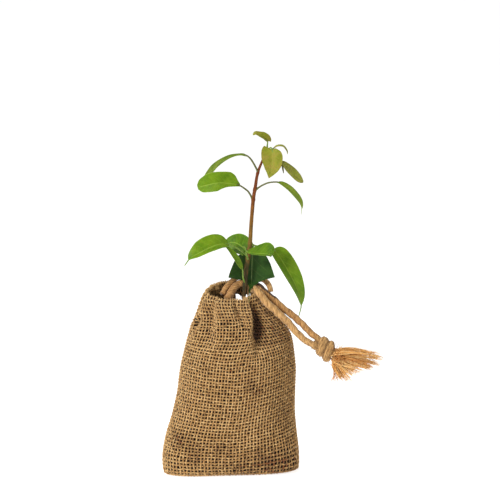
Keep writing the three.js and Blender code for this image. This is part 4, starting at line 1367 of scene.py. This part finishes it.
# %% The young leaves at the tip
HEART_LEFT = through((0, 0.72), (0.03, 0.92), (0.08, 1.02), (0.18, 1.08), (0.3, 1.06), (0.5, 0.88),
                     (0.7, 0.62), (0.86, 0.3), (0.95, 0.12), (1, 0))
HEART_RIGHT = through((0, 0.3), (0.04, 0.6), (0.1, 0.82), (0.2, 0.97), (0.3, 1), (0.5, 0.92), (0.7, 0.64),
                      (0.86, 0.3), (0.95, 0.12), (1, 0))
blade("young_heart", [(30.5, -5, 243.8), (30.6, -6, 238.6), (30.4, -6.5, 232.8), (29.5, -6, 227.6),
      (28, -5, 222.3)], 7.8, (HEART_LEFT, HEART_RIGHT), (0, 0), 10, LEAF_YOUNG,
      lobe=(2.9, 0.8), wave=0.15, seed=10)
blade("young_top", [(27.3, 0, 249.2), (25.7, 0, 251.7), (22.2, -1, 253.8), (18.5, -2, 255.2),
      (16.3, -2, 254.1)], 4.2, (through((0, 0.4), (0.06, 0.8), (0.18, 1), (0.4, 0.9), (0.62, 0.62),
      (0.8, 0.5), (0.95, 0.3), (1, 0.1)), through((0, 0.3), (0.1, 0.6), (0.25, 0.8), (0.45, 0.75),
      (0.7, 0.5), (0.9, 0.3), (1, 0.1))), (50, 60), 10, LEAF_YOUNG, lobe=(1.8, 0.2),
      wave=0.1, seed=11)
blade("young_right", [(37.3, 1, 234.4), (41.3, 1, 230), (46.1, 0, 225.3), (50.1, 0, 221.2),
      (53.6, 1, 218.5)], 4.4, ovate(0.5, 1.3), (-50, -50), 8, LEAF_TAN, wave=0.05, seed=12)
blade("young_curled", [(31, 3, 243.1), (33.2, 3, 244.9), (35.5, 3, 245.5), (38.8, 3, 245),
      (41.4, 2, 241.8), (42, 2, 239.2)], 1.7, ovate(0.5, 1.4), (-74, -74), 6, LEAF_TAN,
      wave=0.05, seed=13)
print("young leaves", 4)

# %% [markdown]
# ## Leaf stalks
# Each stalk grows out of the stem at a small swelling and runs on into its midrib. It is made a little
# longer than the model's solid, which is cut clear at both ends, so that bark, stalk and blade join.


# %% Stalks
def stalk_finish(name, shade, light):
    material, tree, shader = new_finish(name, Roughness=0.5)
    streak = mottle(tree, 1.5, 3.0)
    dress(tree, shader, toned(tree, streak, 0.3, 0.7, shade, light), streak, 0.1)
    return material


STALK = stalk_finish("leaf_stalk_green", "#4C6A16", "#7A903A")
STALK_BROWN = stalk_finish("leaf_stalk_olive", "#3E4416", "#5E5E26")
BUD = stalk_finish("leaf_bud_brown", "#42421A", "#66642A")
STALK_SIDES = 12
STALK_SWELLING = 0.55  # share of its radius


def slim_tube(name, path, radius, finish):
    """A round tube along a path, with a radius for each of its points."""
    side, upper = carried_frame(path)
    points = tube_points(path, side, upper, radius, radius, STALK_SIDES)
    quads, caps = tube_faces(1, len(path), STALK_SIDES)
    piece = mesh_piece(name, points, quads, caps, [finish])
    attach(piece, "root")
    return piece


def stalk(name, route, finish, foot=0.8, end=0.5):
    """A stalk that thins from foot to end, with a swelling where it leaves the stem."""
    path, run = even_path(route, 0.35)
    swelling = STALK_SWELLING * foot * np.exp(-((run / 1.6) ** 2))
    radius = foot + (end - foot) * (run / run[-1]) + swelling
    piece = slim_tube("stalk_of_" + name, path, radius, finish)
    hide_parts("stalk_" + name)
    return piece


print("sides of a stalk", STALK_SIDES)

# %% The thirteen stalks
stalk("upper_left", [(20.2, 0, 226.2), (17.1, 0, 232.1), (14.5, 1, 236), (11.9, 2, 238.1),
      (10.2, 2.6, 238.5)], STALK_BROWN, 0.75, 0.6)
stalk("middle_left", [(16.2, 0.5, 205.6), (13.3, -1, 211.2), (10.6, -2, 213.9), (6.7, -3, 216.7),
      (4.6, -3.9, 217.7)], STALK_BROWN, 0.75, 0.6)
stalk("middle_right", [(18.2, 0, 213.1), (23, -0.5, 216.3), (28.1, -1, 218.5), (34, -2, 219.1),
      (36, -2.4, 218.6)], STALK_BROWN, 0.7, 0.55)
stalk("lower_left", [(12.7, 1, 162.8), (7.9, -1, 167.3), (3.1, -2.5, 170.6), (-1.7, -4, 172.9),
      (-4, -5.3, 173.4)], STALK)
stalk("lower_back", [(13, 1, 163.2), (11.6, 3.6, 166.2), (10.6, 5.5, 168.4), (9.4, 7, 169.2)], STALK)
stalk("lower_small", [(10.6, 1, 142.1), (9.1, -2, 147.2), (8.7, -4, 153.6), (8, -4.5, 155)], STALK,
      0.7, 0.5)
stalk("lower_front", [(12.7, 1, 160.3), (11.9, -3, 164.2), (11.2, -5, 167.3), (12.6, -6.2, 167.8)], STALK)
stalk("lower_right", [(14.1, 1, 172.6), (17.8, 2, 170.8), (24.5, 0, 169.4), (31.1, -5, 169.5),
      (33, -5.4, 167.6)], STALK)
stalk("dark_hanging", [(14.1, 1, 172.6), (15.2, 4.5, 171.6), (15.8, 7, 168.6), (15.8, 7.3, 166)], STALK)
stalk("young_heart", [(26.2, 0, 241.8), (27.8, -2.8, 243.6), (29.4, -4.4, 245.2), (30.5, -5, 243.8),
      (30.5, -5.4, 242)], STALK, 0.6, 0.45)
stalk("young_top", [(26.6, 0, 243.6), (26.9, 0, 246.4), (27.1, 0, 248.9), (26.4, 0, 250.4)], STALK,
      0.6, 0.45)
stalk("young_right", [(25.1, 0, 240.8), (31, 2, 239.1), (37.3, 1, 234.4), (38.8, 1, 232.8)], STALK_BROWN,
      0.6, 0.45)
stalk("young_curled", [(26.3, 0, 243), (28.5, 2, 242.6), (31, 3, 243.1), (32, 3, 244)], STALK_BROWN,
      0.55, 0.5)
print("stalks", 13)

# %% The closed bud under the right-hand young leaf
BUD_ROUTE = [(37.3, 1, 234.4), (37.6, -0.6, 232.2), (38.3, -1.8, 229.3), (38.9, -2, 225.6)]


def closed_bud():
    path, run = even_path(BUD_ROUTE, 0.3)
    share = run / run[-1]
    radius = 0.3 + 0.36 * np.sin(np.pi * np.clip(share ** 1.6 * 1.05, 0, 1)) ** 1.5
    return slim_tube("bud_closed", path, radius, BUD)


print("bud faces", len(closed_bud().data.polygons))

# %% [markdown]
# ## Loose fibres
# Jute is hairy. Short loose fibres stand off the cloth and the string and soften every outline. They
# are thin tubes like the tassel's, rooted at random places and bent over.


# %% Fuzz
CLOTH_HAIRS = 1500
STRING_HAIRS = 420
HAIR_THICK = 0.05
CLOTH_HAIR_REACH = 3.2
STRING_HAIR_REACH = 2.4


def fuzz(name, roots, out, reach, thick, seed):
    own = np.random.default_rng(seed)
    count = len(roots)
    sway = unit(own.normal(0, 1, (count, 3)))
    leave = unit(out + sway * 0.8)
    length = own.uniform(0.35, 1, count)[:, None] * reach
    tips = roots + unit(leave + sway * 0.9) * length
    points, (quads, caps) = fibres(roots, leave, tips, own.uniform(0.6, 1, count) * thick, 0.25, seed + 1)
    points[:, 2] = np.maximum(points[:, 2], GROUND)
    tone = own.choice(3, count, p=[0.5, 0.35, 0.15])
    tones = fibre_tones(tone)
    piece = mesh_piece(name, points, quads, caps, FRAY, tones)
    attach(piece, "root")
    return piece


def cloth_fuzz():
    own = np.random.default_rng(61)
    r = own.integers(UNDER_ROWS * SUB + 2, (UNDER_ROWS + ROWS) * SUB, CLOTH_HAIRS)
    c = own.integers(0, WARPS * SUB, CLOTH_HAIRS)
    roots, out = grid[r, c] + outward[r, c] * 0.5, outward[r, c]
    return fuzz("bag_fuzz", roots, out, CLOTH_HAIR_REACH, HAIR_THICK, 62)


def string_fuzz():
    own = np.random.default_rng(63)
    path = np.vstack([front_path, back_path, bight_path])
    pick = own.integers(0, len(path), STRING_HAIRS)
    out = unit(own.normal(0, 1, (STRING_HAIRS, 3)))
    roots = path[pick] + out * 1.8
    return fuzz("string_fuzz", roots, out, STRING_HAIR_REACH, HAIR_THICK, 64)


cloth_fuzz()
string_fuzz()
print("loose fibres", CLOTH_HAIRS + STRING_HAIRS)

# %% [markdown]
# ## Stage and light
# A plain white floor with nothing behind it, so that the sapling can be seen from every side, and
# three soft lights as for a catalogue picture: a broad key from the upper left, a weaker fill from
# the right, and one above. A white room fills the shadows. It is brightest low down, round the
# horizon, which keeps the picture white behind the plant.


# %% Stage
FLOOR_RADIUS = 4000.0
FLOOR_SIDES = 96
LOW_SKY = 0.17  # sine of ten degrees above the horizon
HIGH_SKY = 0.26  # and of fifteen


def white_floor():
    glow = {"Emission Color": linear("#FFFFFF"), "Emission Strength": 0.8}
    material, tree, shader = new_finish("paper_white_matt", Roughness=0.9, **glow)
    colour = toned(tree, mottle(tree, 60.0, 2.0), 0.0, 1.0, "#D6D6D4", "#DEDEDC")
    tree.links.new(colour, shader.inputs["Base Color"])
    turn = 2 * np.pi * np.arange(FLOOR_SIDES) / FLOOR_SIDES
    points = np.stack([FLOOR_RADIUS * np.cos(turn), FLOOR_RADIUS * np.sin(turn), 0 * turn], 1)
    floor = mesh_piece("paper_floor", points, None, np.arange(FLOOR_SIDES)[None], [material])
    return floor


def white_room(low, high):
    """A white world of one strength up to ten degrees above the horizon and another from fifteen up."""
    room = bpy.data.worlds.new("white_room")
    room.use_nodes = True
    tree = room.node_tree
    direction = add_node(tree, "ShaderNodeTexCoord").outputs["Generated"]
    rise = add_node(tree, "ShaderNodeSeparateXYZ", links={"Vector": direction}).outputs["Z"]
    settings = {"From Min": LOW_SKY, "From Max": HIGH_SKY, "To Min": low, "To Max": high}
    glow = add_node(tree, RANGE, settings, {"Value": rise}).outputs["Result"]
    tree.nodes["Background"].inputs["Color"].default_value = linear("#FFFFFF")
    tree.links.new(glow, tree.nodes["Background"].inputs["Strength"])
    bpy.context.scene.world = room
    return room


print("floor across in m", 2 * FLOOR_RADIUS * MM)


# %% Lights
def soft_light(name, place, aim, size, power):
    lamp = bpy.data.lights.new(name, "AREA")
    lamp.shape = "DISK"
    lamp.size = size
    lamp.energy = power
    light = bpy.data.objects.new(name, lamp)
    light.location = [c * MM for c in place]
    direction = np.array(aim, float) - np.array(place, float)
    yaw = math.atan2(direction[1], direction[0])
    drop = math.atan2(math.hypot(direction[0], direction[1]), -direction[2])
    light.rotation_euler = (drop, 0.0, yaw - math.pi / 2)
    bpy.context.scene.collection.objects.link(light)
    return light


white_floor()
white_room(1.0, 0.25)
soft_light("key", (-700, -700, 760), (10, 0, 110), 0.32, 13.0)
soft_light("fill", (760, -600, 380), (10, 0, 110), 0.7, 0.6)
soft_light("top", (0, 80, 900), (10, 0, 120), 0.6, 2.0)
print("lights", 3)
